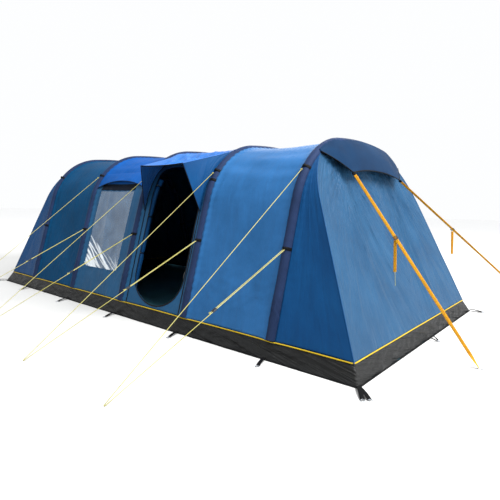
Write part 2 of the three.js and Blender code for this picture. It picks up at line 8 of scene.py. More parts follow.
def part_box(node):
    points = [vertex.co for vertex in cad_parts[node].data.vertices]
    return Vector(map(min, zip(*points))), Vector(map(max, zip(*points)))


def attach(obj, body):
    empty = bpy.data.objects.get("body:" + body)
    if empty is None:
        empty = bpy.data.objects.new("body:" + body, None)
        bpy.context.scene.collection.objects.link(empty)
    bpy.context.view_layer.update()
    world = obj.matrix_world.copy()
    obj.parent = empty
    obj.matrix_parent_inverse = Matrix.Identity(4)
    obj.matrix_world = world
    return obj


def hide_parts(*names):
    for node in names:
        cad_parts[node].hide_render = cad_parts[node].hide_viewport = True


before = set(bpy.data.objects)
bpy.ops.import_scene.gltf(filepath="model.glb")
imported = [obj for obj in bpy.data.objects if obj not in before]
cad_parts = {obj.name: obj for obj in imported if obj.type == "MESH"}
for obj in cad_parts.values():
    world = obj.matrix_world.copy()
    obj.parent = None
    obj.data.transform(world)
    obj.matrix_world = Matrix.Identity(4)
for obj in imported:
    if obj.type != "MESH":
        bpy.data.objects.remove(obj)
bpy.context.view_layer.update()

bl_info = {
    "name": "Inflatable tunnel tent",
    "version": (1, 0, 0),
    "blender": (4, 5, 0),
    "location": "View3D > Sidebar > Tent",
    "description": "Sews the cloth, webbing and fittings of a tunnel tent round its frame",
    "category": "Add Mesh",
}

BODY = "tent"
BEAM_NAMES = "abcde"


def node_middle(name):
    low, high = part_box(name)
    return (Vector(low) + Vector(high)) / 2


BEAM_X = {name: node_middle("beam_sleeve_" + name).x for name in BEAM_NAMES}
HALF_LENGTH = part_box("mud_wall_near")[1][0]
HALF_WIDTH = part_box("mud_wall_far")[1][1]
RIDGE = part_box("beam_sleeve_c")[1][2]
MUD_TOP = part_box("mud_wall_near")[1][2]
FLOOR_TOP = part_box("floor_sheet")[1][2]

# The arch: straight legs that lean in, a shoulder arc and a flat roof arc
LEG_LEAN = math.radians(15)
SHOULDER_RADIUS = 0.9
ROOF_RADIUS = 5.0
SLEEVE_RADIUS = 0.05
FLY_INSET = 0.04
CLOTH = 0.0016
SLOPE_TOP = RIDGE - 0.24
TAU = 2 * math.pi
# Heights of the webbing loops round the sleeves, and of the beams' valves
LOWER_LOOP = 0.95
UPPER_LOOP = 1.69
CANOPY_LOOP = 1.59
VALVE_HEIGHT = 0.45
# Flat sizes of the cut cloths, width by length
MUD_CLOTH = 0.17
VENT_CLOTH = 0.19
CANOPY_CLOTH = (1.04, 0.83)
# Moulded pieces keep their edges sharp over this angle, in degrees
HARD_EDGE = 35
# Storm-strap webbing
STRAP_WIDTH = 0.03
STRAP_THICK = 0.0022


class Arch:
    """The tunnel's outline, set in from the sleeves' outer line.

    A place on it is s, the length from the near side's ground over the ridge.
    """

    def __init__(self, inset):
        drop = RIDGE - ROOF_RADIUS
        spread = ROOF_RADIUS - SHOULDER_RADIUS
        reach = HALF_WIDTH * math.cos(LEG_LEAN) - drop * math.sin(LEG_LEAN) - SHOULDER_RADIUS
        self.roof_angle = math.asin(reach / spread) - LEG_LEAN
        self.centre_y = spread * math.sin(self.roof_angle)
        self.centre_z = drop + spread * math.cos(self.roof_angle)
        self.drop = drop
        self.r = SHOULDER_RADIUS - inset
        self.roof_r = ROOF_RADIUS - inset
        self.leg_top = self.centre_z + self.r * math.sin(LEG_LEAN)
        self.leg = self.leg_top / math.cos(LEG_LEAN)
        self.shoulder = self.r * (math.pi / 2 - self.roof_angle - LEG_LEAN)
        self.half = self.leg + self.shoulder + self.roof_r * self.roof_angle
        self.total = 2 * self.half

    def section(self, s):
        """Point and outward normal in Y and Z."""
        if s > self.half:
            y, z, ny, nz = self.section(self.total - s)
            return -y, z, -ny, nz
        if s < self.leg:
            top_y = self.centre_y + self.r * math.cos(LEG_LEAN)
            left = self.leg - s
            return (-top_y - left * math.sin(LEG_LEAN), self.leg_top - left * math.cos(LEG_LEAN),
                    -math.cos(LEG_LEAN), math.sin(LEG_LEAN))
        if s < self.leg + self.shoulder:
            angle = LEG_LEAN + (s - self.leg) / self.r
            ny, nz = -math.cos(angle), math.sin(angle)
            return ny * self.r - self.centre_y, nz * self.r + self.centre_z, ny, nz
        angle = self.roof_angle - (s - self.leg - self.shoulder) / self.roof_r
        ny, nz = -math.sin(angle), math.cos(angle)
        return ny * self.roof_r, nz * self.roof_r + self.drop, ny, nz

    def point(self, x, s, out=0.0):
        y, z, ny, nz = self.section(s)
        return Vector((x, y + ny * out, z + nz * out))

    def normal(self, s):
        return Vector((0, *self.section(s)[2:]))

    def up_to(self, z):
        """Length from the near ground up to a height."""
        if z < self.leg_top:
            return z / math.cos(LEG_LEAN)
        angle = math.asin(min((z - self.centre_z) / self.r, 1))
        return self.leg + self.r * (angle - LEG_LEAN)

    def half_width(self, z):
        return -self.section(self.up_to(z))[0]

    def roofness(self, s):
        """0 on the legs, 1 on the roof, and a smooth step over the shoulders."""
        s = min(s, self.total - s)
        step = min(max((s - self.leg + 0.1) / self.shoulder, 0), 1)
        return step * step * (3 - 2 * step)


FLY = Arch(FLY_INSET)
CORE = Arch(SLEEVE_RADIUS)
FOOT_S = FLY.up_to(MUD_TOP)
MUD_SPLAY = HALF_WIDTH - FLY.half_width(MUD_TOP)
END_FOOT = HALF_LENGTH - MUD_SPLAY
END_FACE = BEAM_X["e"] + SLEEVE_RADIUS
END_SLOPE = (END_FOOT - END_FACE) / (SLOPE_TOP - MUD_TOP)
END_OUT = Vector((1, 0, END_SLOPE)).normalized()


def end_x(z):
    return END_FOOT - (z - MUD_TOP) * END_SLOPE


# ---------------------------------------------------------------- materials


def linear(colour):
    """An sRGB hex colour as linear values."""
    parts = [int(colour[i:i + 2], 16) / 255 for i in (1, 3, 5)]
    return [p / 12.92 if p <= 0.04045 else ((p + 0.055) / 1.055) ** 2.4 for p in parts] + [1]


def add_node(tree, kind, settings=None, values=None, links=None):
    """Adds a node, sets its properties and input values, and links its inputs."""
    made = tree.nodes.new("ShaderNode" + kind)
    for name, value in (settings or {}).items():
        setattr(made, name, value)
    for name, value in (values or {}).items():
        made.inputs[name].default_value = value
    for name, source in (links or {}).items():
        tree.links.new(source, made.inputs[name])
    return made


def new_material(name):
    made = bpy.data.materials.new(name)
    made.use_nodes = True
    made.node_tree.nodes.clear()
    return made, made.node_tree


def close_material(tree, values, links):
    shader = add_node(tree, "BsdfPrincipled", values=values, links=links)
    add_node(tree, "OutputMaterial", links={"Surface": shader.outputs["BSDF"]})


def two_tones(tree, factor, first, second):
    ramp = add_node(tree, "ValToRGB", links={"Fac": factor})
    ramp.color_ramp.elements[0].position = 0.3
    ramp.color_ramp.elements[1].position = 0.7
    ramp.color_ramp.elements[0].color = linear(first)
    ramp.color_ramp.elements[1].color = linear(second)
    return ramp.outputs["Color"]


def woven(name, dark, light, thread, rough, sheen=0.02, creases=0.0, relief=0.0004, gloss=0.08, through=0.0):
    """Woven cloth or webbing. Threads run along the Cloth map, in metres; through lets daylight into it."""
    made, tree = new_material(name)
    place = add_node(tree, "UVMap", {"uv_map": "Cloth"}).outputs["UV"]
    scale = 1 / thread / TAU
    warp = add_node(tree, "TexWave", {"bands_direction": "X"}, {"Scale": scale * math.pi, "Distortion": 0.2},
                    {"Vector": place})
    weft = add_node(tree, "TexWave", {"bands_direction": "Y"}, {"Scale": scale * math.pi, "Distortion": 0.2},
                    {"Vector": place})
    weave = add_node(tree, "Math", {"operation": "MULTIPLY"},
                     links={0: warp.outputs["Fac"], 1: weft.outputs["Fac"]})
    cloud = add_node(tree, "TexNoise", values={"Scale": 1.7, "Detail": 5.0, "Roughness": 0.6},
                     links={"Vector": place})
    lines = add_node(tree, "UVMap", {"uv_map": "Pull"}).outputs["UV"]
    stretched = add_node(tree, "Mapping", {"vector_type": "POINT"}, {"Scale": (9.0, 1.6, 1.0)},
                         {"Vector": lines})
    crease = add_node(tree, "TexNoise", values={"Scale": 1.6, "Detail": 4.0, "Distortion": 0.7},
                      links={"Vector": stretched.outputs["Vector"]})
    blend = add_node(tree, "Math", {"operation": "MULTIPLY_ADD"}, {1: 0.12},
                     {0: weave.outputs["Value"], 2: cloud.outputs["Fac"]})
    colour = two_tones(tree, blend.outputs["Value"], dark, light)
    roughness = add_node(tree, "MapRange", values={"To Min": rough - 0.06, "To Max": rough + 0.08},
                         links={"Value": cloud.outputs["Fac"]})
    folds = add_node(tree, "Bump", values={"Strength": 1.0, "Distance": creases},
                     links={"Height": crease.outputs["Fac"]})
    bump = add_node(tree, "Bump", values={"Strength": 0.5, "Distance": relief},
                    links={"Height": weave.outputs["Value"], "Normal": folds.outputs["Normal"]})
    close_material(tree, {"Sheen Weight": sheen, "Sheen Roughness": 0.35, "IOR": 1.5,
                          "Specular IOR Level": gloss, "Subsurface Weight": through,
                          "Subsurface Radius": (1.0, 0.75, 0.2), "Subsurface Scale": 0.004},
                   {"Base Color": colour, "Roughness": roughness.outputs["Result"],
                    "Normal": bump.outputs["Normal"]})
    return made


def moulded(name, dark, light, rough, grit, metallic=0.0):
    """Moulded plastic or cast metal with a fine sprue grain and handling marks."""
    made, tree = new_material(name)
    place = add_node(tree, "TexCoord").outputs["Object"]
    grain = add_node(tree, "TexNoise", values={"Scale": 1 / grit, "Detail": 3.0}, links={"Vector": place})
    wear = add_node(tree, "TexNoise", values={"Scale": 40.0, "Detail": 4.0}, links={"Vector": place})
    colour = two_tones(tree, wear.outputs["Fac"], dark, light)
    roughness = add_node(tree, "MapRange", values={"To Min": rough - 0.08, "To Max": rough + 0.1},
                         links={"Value": wear.outputs["Fac"]})
    bump = add_node(tree, "Bump", values={"Strength": 0.3, "Distance": 0.0002},
                    links={"Height": grain.outputs["Fac"]})
    values = {"Metallic": metallic} if metallic else {"IOR": 1.5}
    close_material(tree, values, {"Base Color": colour, "Roughness": roughness.outputs["Result"],
                                  "Normal": bump.outputs["Normal"]})
    return made


def clear_film():
    """Clear PVC film gone slightly milky: it mirrors the sky, and its crinkles catch white light."""
    made, tree = new_material("clear_pvc_film")
    place = add_node(tree, "UVMap", {"uv_map": "Cloth"}).outputs["UV"]
    haze = add_node(tree, "TexNoise", values={"Scale": 5.0, "Detail": 6.0, "Distortion": 0.5},
                    links={"Vector": place})
    clear = two_tones(tree, haze.outputs["Fac"], "#2f4b68", "#4c6783")
    # Painted highlight: the crease mask mixes the film's colour toward near white, for the sky's reflection
    # in its creases
    folded = add_node(tree, "Attribute", {"attribute_name": "whitening"})
    glint_mask = add_node(tree, "MapRange", values={"From Min": 0.15, "From Max": 0.8},
                      links={"Value": folded.outputs["Fac"]})
    # The Mix node's colour sockets share their names with its number sockets, so they are found by place
    factor, first, second, result = 0, 6, 7, 2
    mixed = add_node(tree, "Mix", {"data_type": "RGBA"},
                     links={factor: glint_mask.outputs["Result"], first: clear})
    mixed.inputs[second].default_value = linear("#dce4ea")
    colour = mixed.outputs[result]
    roughness = add_node(tree, "MapRange", values={"To Min": 0.1, "To Max": 0.26},
                         links={"Value": haze.outputs["Fac"]})
    bump = add_node(tree, "Bump", values={"Strength": 0.5, "Distance": 0.002},
                    links={"Height": haze.outputs["Fac"]})
    close_material(tree, {"IOR": 1.53, "Coat Weight": 0.6, "Coat Roughness": 0.12, "Alpha": 0.82},
                   {"Base Color": colour, "Roughness": roughness.outputs["Result"],
                    "Normal": bump.outputs["Normal"]})
    return made


MATERIALS = {}


def make_materials(colours):
    """One material for each real finish of the tent."""
    def cloth(key, name, dark, light, **finish):
        MATERIALS[key] = woven(name, dark, light, **finish)

    # Coated polyester taffeta, 0.3 mm threads drawn at 1.2 mm so that they show: soft satin, clear creases
    satin = dict(thread=0.0012, rough=0.47, creases=0.006)
    cloth("fly", "fly_polyester", colours["fly"], "#275a8c", **satin)
    # On the corner triangles this darker navy copy of the fly cloth is painted shade: less daylight shows
    # through them than through the walls beside them. The door roll, the corner welts and the right canopy
    # wing wear it too.
    cloth("fly_dark", "fly_polyester_navy", colours["navy"], "#093e6b", **satin)
    cloth("fly_mid", "fly_polyester_mid", "#173e5d", "#1f4c70", **satin)
    # The end panels' cloth is pulled hard by the hood, so its creases stand out most
    cloth("fly_end", "fly_polyester_end", "#143551", "#1e4361", thread=0.0012, rough=0.42, creases=0.018,
          gloss=0.1)
    # Matt cloths: a darker copy of the fly cloth for the front bay, which is painted shade, and the brighter
    # roof panels
    matt = dict(thread=0.0012, rough=0.5, sheen=0.0, creases=0.008, gloss=0.02)
    cloth("fly_deep", "fly_polyester_deep", "#07314f", "#0c3f64", **matt)
    cloth("roof", "roof_polyester", colours["roof"], "#164e94", **matt)
    # The canopy's bright cloth, whose wrinkles catch the light
    cloth("canopy", "canopy_polyester", "#1c4d8c", "#2a64aa", thread=0.0012, rough=0.45, creases=0.02,
          gloss=0.1)
    # The hood's navy cloth, flat and dull
    cloth("hood", "hood_polyester", "#081c33", "#0e2944", thread=0.0012, rough=0.5, creases=0.003, gloss=0.03)
    # Heavier oxford weave of the beam sleeves: purple-grey, duller
    cloth("sleeve", "sleeve_oxford", colours["sleeve"], "#22304f", thread=0.002, rough=0.5, sheen=0.0,
          creases=0.004, relief=0.0006, gloss=0.04)
    # Polyethylene-coated mud wall: black, creased and a little shiny
    cloth("mud", "mud_wall_polyethylene", colours["mud"], "#161718", thread=0.002, rough=0.38, sheen=0.0,
          creases=0.03, gloss=0.18)
    # Polyethylene floor sheet: teal, coarse threads; its teal is lifted lighter as painted light, for the
    # daylight that falls in through the door
    cloth("floor", "floor_polyethylene", "#3f6f80", "#4c8294", thread=0.003, rough=0.45, sheen=0.0,
          creases=0.006)
    # Black nylon webbing and bindings, ribbed across
    cloth("black_web", "black_nylon_webbing", "#050506", "#0c0d0f", thread=0.0022, rough=0.6, sheen=0.0,
          relief=0.0008)
    # Storm-strap webbing: orange-yellow polyester that glows where the light is behind it
    cloth("webbing", "yellow_polyester_webbing", colours["webbing"], "#b5841a", thread=0.0025, rough=0.55,
          relief=0.0009, through=0.7)
    # Piping cord in a plain yellow cover
    cloth("piping", "yellow_piping", colours["piping"], "#b59a28", thread=0.002, rough=0.5, sheen=0.05,
          relief=0.0005)
    # Braided guy rope with a pale reflective fleck
    cloth("rope", "braided_guy_rope", colours["rope"], "#b0aa72", thread=0.003, rough=0.5, relief=0.0008)
    # Coil zip on black tape
    cloth("zip", "coil_zip_nylon", "#050607", "#131417", thread=0.0035, rough=0.45, sheen=0.0, relief=0.0012)
    # Fine insect mesh, near black
    cloth("mesh", "insect_mesh", "#050911", "#0c1626", thread=0.003, rough=0.75, creases=0.002, relief=0.001)
    # Breathable inner-tent cloth, dark grey
    cloth("inner", "inner_tent_polyester", "#1b1e22", "#2a2e34", thread=0.0015, rough=0.7, sheen=0.05,
          creases=0.006)
    # Acetal buckles and runners, lightly textured black
    MATERIALS["plastic"] = moulded("moulded_acetal", "#0e0f11", "#1f2124", rough=0.42, grit=0.0006)
    # Thermoplastic polyurethane bladder, grey and slightly glossy
    MATERIALS["bladder"] = moulded("polyurethane_bladder", "#5f666e", "#767e87", rough=0.32, grit=0.002)
    # Zinc-plated steel rings
    MATERIALS["steel"] = moulded("zinc_plated_steel", "#8c9096", "#a9adb3", rough=0.34, grit=0.0008,
                                 metallic=1.0)
    MATERIALS["film"] = clear_film()


# ---------------------------------------------------------------- mesh helpers


def link_mesh(name, points, faces, uvs=None, pulls=None):
    """A mesh object; the Cloth map lays its threads, the Pull map says which way its creases run."""
    mesh = bpy.data.meshes.new(name)
    mesh.from_pydata([tuple(p) for p in points], [], faces)
    if uvs:
        for map_name, values in (("Cloth", uvs), ("Pull", pulls or uvs)):
            layer = mesh.uv_layers.new(name=map_name)
            for loop in mesh.loops:
                layer.data[loop.index].uv = values[loop.vertex_index]
    mesh.update()
    obj = bpy.data.objects.new(name, mesh)
    bpy.context.scene.collection.objects.link(obj)
    return obj


def only(obj):
    bpy.ops.object.select_all(action="DESELECT")
    bpy.context.view_layer.objects.active = obj
    obj.select_set(True)


def apply_modifier(obj, kind, **settings):
    only(obj)
    modifier = obj.modifiers.new(kind.title(), kind)
    for name, value in settings.items():
        setattr(modifier, name, value)
    bpy.ops.object.modifier_apply(modifier=modifier.name)


def smooth(obj, angle=40):
    only(obj)
    bpy.ops.object.shade_smooth_by_angle(angle=math.radians(angle))


def cloth_sheet(name, size, steps, place, thickness=CLOTH, pull=None):
    """A sheet laid out by place(u, v), with its threads along U and V in metres, and a real thickness.

    pull(u, v) says which way its creases run, where that isn't along the threads.
    """
    columns, rows = steps
    points = []
    uvs = []
    pulls = []
    for r in range(rows + 1):
        for c in range(columns + 1):
            points.append(place(c / columns, r / rows))
            uvs.append((size[0] * c / columns, size[1] * r / rows))
            if pull:
                pulls.append(pull(c / columns, r / rows))
    wide = columns + 1
    faces = []
    for r in range(rows):
        for c in range(columns):
            first = r * wide + c
            faces.append((first, first + 1, first + wide + 1, first + wide))
    obj = link_mesh(name, points, faces, uvs, pulls)
    apply_modifier(obj, "SOLIDIFY", thickness=thickness, offset=-1)
    for polygon in obj.data.polygons:
        polygon.use_smooth = True
    return obj


def cut_through(obj, first_ring, second_ring):
    """Cuts the prism between two rings of points out of a piece."""
    count = len(first_ring)
    points = first_ring + second_ring
    sides = [(k, (k + 1) % count, (k + 1) % count + count, k + count) for k in range(count)]
    cutter = link_mesh("cutter", points, sides + [tuple(range(count))[::-1], tuple(range(count, 2 * count))])
    only(cutter)
    bpy.ops.object.mode_set(mode="EDIT")
    bpy.ops.mesh.select_all(action="SELECT")
    bpy.ops.mesh.normals_make_consistent(inside=False)
    bpy.ops.object.mode_set(mode="OBJECT")
    apply_modifier(obj, "BOOLEAN", object=cutter, operation="DIFFERENCE", solver="EXACT")
    bpy.data.objects.remove(cutter)


def round_section(radius, sides=12):
    return [(radius * math.cos(TAU * k / sides), radius * math.sin(TAU * k / sides)) for k in range(sides)]


def flat_section(width, thickness):
    """A flat band with softly rounded edges, lying on the surface."""
    w, t = width / 2, thickness
    edge = min(t / 2, w / 3)
    return [(-w + edge, 0), (-w / 3, 0), (w / 3, 0), (w - edge, 0), (w, t / 2), (w - edge, t), (w / 3, t),
            (-w / 3, t), (-w + edge, t), (-w, t / 2)]


def sweep(name, path, normals, section, closed=False, swell=None, caps=True):
    """Carries a section (across, out) along a path; normals say which way is out."""
    count = len(path)
    across = len(section)
    points = []
    uvs = []
    run = 0.0
    girth = [0.0]
    for k in range(across - 1):
        girth.append(girth[-1] + (Vector(section[k + 1]) - Vector(section[k])).length)
    for k, place in enumerate(path):
        before = path[k - 1] if closed or k else place
        after = path[(k + 1) % count] if closed or k < count - 1 else place
        along = (after - before).normalized()
        out = (normals[k] - along * normals[k].dot(along)).normalized()
        side = along.cross(out)
        if k:
            run += (place - path[k - 1]).length
        for j, (a, b) in enumerate(section):
            grow = 1 + (swell(run, j) if swell else 0)
            points.append(place + side * a * grow + out * b * grow)
            uvs.append((girth[j], run))
    faces = []
    for k in range(count if closed else count - 1):
        nxt = (k + 1) % count
        for j in range(across):
            step = (j + 1) % across
            faces.append((k * across + j, k * across + step, nxt * across + step, nxt * across + j))
    if caps and not closed:
        faces.append(tuple(range(across))[::-1])
        faces.append(tuple((count - 1) * across + j for j in range(across)))
    obj = link_mesh(name, points, faces, uvs)
    only(obj)
    bpy.ops.object.mode_set(mode="EDIT")
    bpy.ops.mesh.select_all(action="SELECT")
    bpy.ops.mesh.normals_make_consistent(inside=False)
    bpy.ops.object.mode_set(mode="OBJECT")
    smooth(obj, 50)
    return obj


def straight(start, end, count):
    return [start.lerp(end, k / count) for k in range(count + 1)]


def join(name, parts):
    only(parts[0])
    for part in parts:
        part.select_set(True)
    bpy.ops.object.join()
    parts[0].name = name
    return parts[0]


def finish_piece(obj, material, nodes=(), body=BODY):
    obj.data.materials.clear()
    obj.data.materials.append(MATERIALS[material])
    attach(obj, body)
    if nodes:
        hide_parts(*nodes)
    return obj


def wander(*values):
    """Smooth noise from -1 to 1 at a place."""
    return noise.noise(Vector(values))


def crumple(x, y, seed):
    """Sharp-topped folds: ridged noise of two sizes."""
    first = 1 - abs(2 * wander(x, y, seed))
    second = 1 - abs(2 * wander(2.3 * x, 2.3 * y, seed + 7))
    return first * first + 0.4 * second * second - 0.6


# ---------------------------------------------------------------- fly


def bay_slack(bay, sizes):
    """How far the cloth of a bay stands off the taut line between its two sleeves."""
    x0, x1 = bay_span(bay)
    width = x1 - x0
    seed, fold = BAYS[bay]["seed"], BAYS[bay]["fold"]

    def slack(u, s):
        x = u * width
        span = 4 * u * (1 - u)
        roof = FLY.roofness(s)
        sag = -(sizes.wall_sag + (sizes.roof_sag - sizes.wall_sag) * roof) * span ** 0.85
        from_sleeve = min(u, 1 - u) * width
        gathers = math.sin(s * TAU / PUCKER_PITCH + 3 * wander(s * 2, seed, 0))
        pucker = sizes.pucker * math.exp(-from_sleeve / 0.05) * gathers
        shoulder = math.exp(-((min(s, FLY.total - s) - FLY.leg - 0.35) / 0.3) ** 2)
        level = wander(1.2 * x, 8 * s, seed) * shoulder + 0.5 * wander(1.5 * x, 5 * s, seed + 3) * roof
        drag = crumple(1.1 * x + 0.5 * s, 0.55 * s - 1.6 * x, seed) * (1 - 0.7 * roof)
        foot_s = min(s, FLY.total - s) - FOOT_S
        gather = math.exp(-foot_s / 0.1) * wander(13 * x, 1.5 * s, seed + 9)
        low_band = math.exp(-((foot_s - 0.36) / 0.16) ** 2)
        pulled = low_band * crumple(5 * x + 1.2 * s, 9 * s - 2 * x, seed + 4) * 0.007
        held = min(span * 3, 1)
        climb = SEAM_LIFT * math.exp(-((from_sleeve / 0.03) ** 2))
        return sag + climb + held * (fold * (level + 0.55 * drag) + pulled) + 0.003 * gather + pucker
    return slack


def wall_between(x0, x1, s0, s1, slack):
    """The place of a wall's cloth between two sleeves and two lengths along the arch."""
    def place(u, v):
        s = s0 + (s1 - s0) * v
        return FLY.point(x0 + (x1 - x0) * u, s, slack(u, s))
    return place


def door_outline(grow=0.0, count=20):
    """The side door's opening in X and Z: round foot, straight sides, rounded head."""
    low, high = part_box("door_zip")
    tape, side_steps, corner_steps = 0.012, 12, 8
    x0, x1 = low[0] + tape - grow, high[0] - tape + grow
    bottom, top = low[2] + tape - grow, high[2] - tape + grow
    spring = 0.52
    corner = 0.12 + grow
    middle = (x0 + x1) / 2
    half = (x1 - x0) / 2
    points = []
    for k in range(count + 1):
        angle = math.pi + math.pi * k / count
        points.append((middle + half * math.cos(angle), spring + (spring - bottom) * math.sin(angle)))
    straight_side = top - corner - spring
    points += [(x1, spring + straight_side * k / side_steps) for k in range(1, side_steps)]
    for centre, start in ((x1 - corner, 0), (x0 + corner, math.pi / 2)):
        for k in range(corner_steps + 1):
            angle = start + math.pi / 2 * k / corner_steps
            points.append((centre + corner * math.cos(angle), top - corner + corner * math.sin(angle)))
    points += [(x0, top - corner - straight_side * k / side_steps) for k in range(1, side_steps)]
    return points


def window_outline():
    """The window's edge in X and Z: rounded lower corners, nearly square upper ones."""
    low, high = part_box("window_pane")
    lower, upper, steps = 0.04, 0.005, 6
    corners = ((high[0] - lower, low[2] + lower, -math.pi / 2, lower),
               (high[0] - upper, high[2] - upper, 0, upper),
               (low[0] + upper, high[2] - upper, math.pi / 2, upper),
               (low[0] + lower, low[2] + lower, math.pi, lower))
    points = []
    for x, z, start, radius in corners:
        for k in range(steps + 1):
            angle = start + math.pi / 2 * k / steps
            points.append((x + radius * math.cos(angle), z + radius * math.sin(angle)))
    return points


def polygon_area(points):
    pairs = zip(points, points[1:] + points[:1])
    return abs(sum(a[0] * b[1] - b[0] * a[1] for a, b in pairs)) / 2


# Each bay's folds and cloth, and the wall panel under its roof where it has one
BAYS = {
    # The front bay wears a darker copy of the fly cloth: painted shade for the weaker light at that end of
    # the tent
    "ab": dict(seed=1.3, fold=0.012, material="fly_deep"),
    "bc": dict(seed=4.1, fold=0.018, material="roof", wall="window_wall", opening=window_outline),
    "cd": dict(seed=8.7, fold=0.018, material="roof", wall="door_wall", opening=door_outline),
    "de": dict(seed=12.9, fold=0.013, material="fly"),
}
# Distance between two gathers along a sleeve's seam
PUCKER_PITCH = 0.08
SEWN_IN = 0.0015
# The fly's edge climbs the sleeve's flank by this much before its seam
SEAM_LIFT = 0.014


def bay_span(bay):
    """Where a bay's cloth starts and ends in X, at the seams on its two sleeves' flanks."""
    flank = math.sqrt(SLEEVE_RADIUS ** 2 - (SEAM_LIFT + 0.01) ** 2) - SEWN_IN
    return BEAM_X[bay[0]] + flank, BEAM_X[bay[1]] - flank


def make_fly(sizes):
    """The four bays; the window's and the door's have a wall panel of their own under the roof."""
    far_s = FLY.total - FOOT_S
    columns = 52
    for bay, facts in BAYS.items():
        x0, x1 = bay_span(bay)
        width = x1 - x0
        slack = bay_slack(bay, sizes)
        wall = facts.get("wall")
        start = FLY.up_to(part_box(wall)[1][2]) if wall else FOOT_S
        length = far_s - start
        roof = cloth_sheet("fly_" + bay, (width, length), (columns, int(length / 0.022)),
                           wall_between(x0, x1, start, far_s, slack))
        finish_piece(roof, facts["material"], ("fly_bay_" + bay,))
        if wall:
            outline = facts["opening"]()
            tall = start - FOOT_S
            panel = cloth_sheet("cloth_" + wall, (width, tall), (columns, int(tall / 0.02)),
                                wall_between(x0, x1, FOOT_S, start, slack))
            outside, inside = -2.4, -0.4
            cut_through(panel, *[[(x, y, z) for x, z in outline] for y in (outside, inside)])
            finish_piece(panel, "fly_mid", (wall,))
            # The wall leans, so an opening takes a little more cloth than its upright outline
            area = width * tall - polygon_area(outline) * 1.04


def as_it_is(point):
    return point


def turn_round(point):
    return Vector((-point.x, -point.y, point.z))


# The rear end is drawn as it is, and the front end is the same, turned round
ENDS = (("rear", as_it_is), ("front", turn_round))


def make_ends(sizes):
    """The sloped end panels, the side panels between the end beams and the corners, and the end vents."""
    for end, turn in ENDS:
        make_end_panel(end, turn, sizes)
        for side in ("near", "far"):
            make_end_side(end, turn, side, sizes)
        make_vent(end, turn)


def side_share(across):
    """0 on one half of an end panel, 1 on the other, with a smooth step between."""
    step = min(max((across - 0.05) / 0.5, 0), 1)
    return step * step * (3 - 2 * step)


def make_end_panel(end, turn, sizes):
    """A sloped end: its cloth gathers under the hood and is drawn in fans from the hood's peaks."""
    rise = SLOPE_TOP - MUD_TOP
    peak_x, peak_v = 0.5, 0.93
    fan_x, fan_v = 0.75, 1.32

    def place(u, v):
        z = MUD_TOP + rise * v
        half = FLY.half_width(z) - CLOTH
        across = 2 * u - 1
        y = half * across
        span = (1 - across * across) * 4 * v * (1 - v)
        near_hood = math.exp(-((1 - v) / 0.22) ** 2)
        gather = crumple(15 * across, 1.0 * v, 2.1) * 0.014 * near_hood * (1 - abs(across) ** 4)
        fan = 0.0
        for side in (-1, 1):
            dx, dv = across - side * peak_x, peak_v - v
            angle = math.atan2(dx, dv + 0.05)
            reach = math.hypot(dx, dv)
            drawn = crumple(7 * angle, 0.5 * reach, 5 + side) * math.exp(-reach / 0.8)
            fan += drawn * 0.012 * min(4 * reach, 1)
        line = pull(u, v)[0]
        long_fold = crumple(1.6 * line, 0.5 * v, 3.3) * 0.021 * span ** 0.5
        long_fold += crumple(4.2 * line, 0.7 * v, 6.3) * 0.007 * span ** 0.5
        edge = 1 - abs(across)
        seam_fold = wander(24 * edge, 0.8 * v, 4 + (across > 0)) * 0.006
        long_fold += seam_fold * math.exp(-edge / 0.12) * min(20 * edge, 1)
        foot = math.exp(-v / 0.05) * wander(20 * across, 1, 8) * 0.004
        out = -sizes.wall_sag * 1.5 * span + (gather + fan + long_fold) * min(6 * (1 - abs(across)), 1) + foot
        return turn(Vector((end_x(z), y, z)) + END_OUT * out)

    def pull(u, v):
        across = 2 * u - 1
        first, second = [(across - side * fan_x) / (fan_v - v) for side in (-1, 1)]
        share = side_share(across)
        return (first * (1 - share) + second * share) * 1.5, length * v

    length = rise * math.sqrt(1 + END_SLOPE ** 2)
    width = 2 * FLY.half_width(MUD_TOP)
    panel = cloth_sheet(end + "_end_cloth", (width, length), (330, 125), place, pull=pull)
    finish_piece(panel, "fly_end", (end + "_panel",))


def make_end_side(end, turn, side, sizes):
    """The triangle between an end beam and the end panel, and the welt of their corner seam."""
    start, stop = FOOT_S, FLY.up_to(SLOPE_TOP - 0.004)
    sign = 1 if (side == "near") == (end == "rear") else -1
    seed = 2.0 if side == "near" else 6.0

    def place(u, v):
        s = start + (stop - start) * v
        u = u if sign > 0 else 1 - u
        y, z, ny, nz = FLY.section(s)
        x = END_FACE - SEWN_IN + (end_x(z) - END_FACE + SEWN_IN) * u
        width = end_x(z) - END_FACE
        span = 4 * u * (1 - u)
        fold = crumple(2.0 * width * u, 1.1 * s, seed) * 0.005 + wander(5 * u, 0.8 * s, seed + 2) * 0.005
        edge = math.exp(-u * width / 0.04) * math.sin(s * TAU / PUCKER_PITCH) * sizes.pucker
        out = (-0.018 * min(width / 0.6, 1) + fold) * span * min(1.0, width * 4) + edge * min(8 * u, 1)
        return turn(Vector((x, sign * (y + ny * out), z + nz * out)))

    width = END_FOOT - END_FACE
    length = stop - start
    panel = cloth_sheet(f"{end}_{side}_side_cloth", (width, length), (40, 90), place)
    # The triangle's darker navy cloth is painted shade
    finish_piece(panel, "fly_dark", (f"{end}_side_{side}",))
    steps = 60
    heights = [MUD_TOP + (SLOPE_TOP - MUD_TOP) * k / steps for k in range(steps + 1)]
    seam = [turn(Vector((end_x(z) + 0.001, sign * FLY.section(FLY.up_to(z))[0], z))) for z in heights]
    outward = turn(Vector((1, -sign, 0.3)).normalized())
    welt = sweep(f"{end}_{side}_corner_seam", seam, [outward] * len(seam), round_section(0.0035, 8))
    finish_piece(welt, "fly_dark")


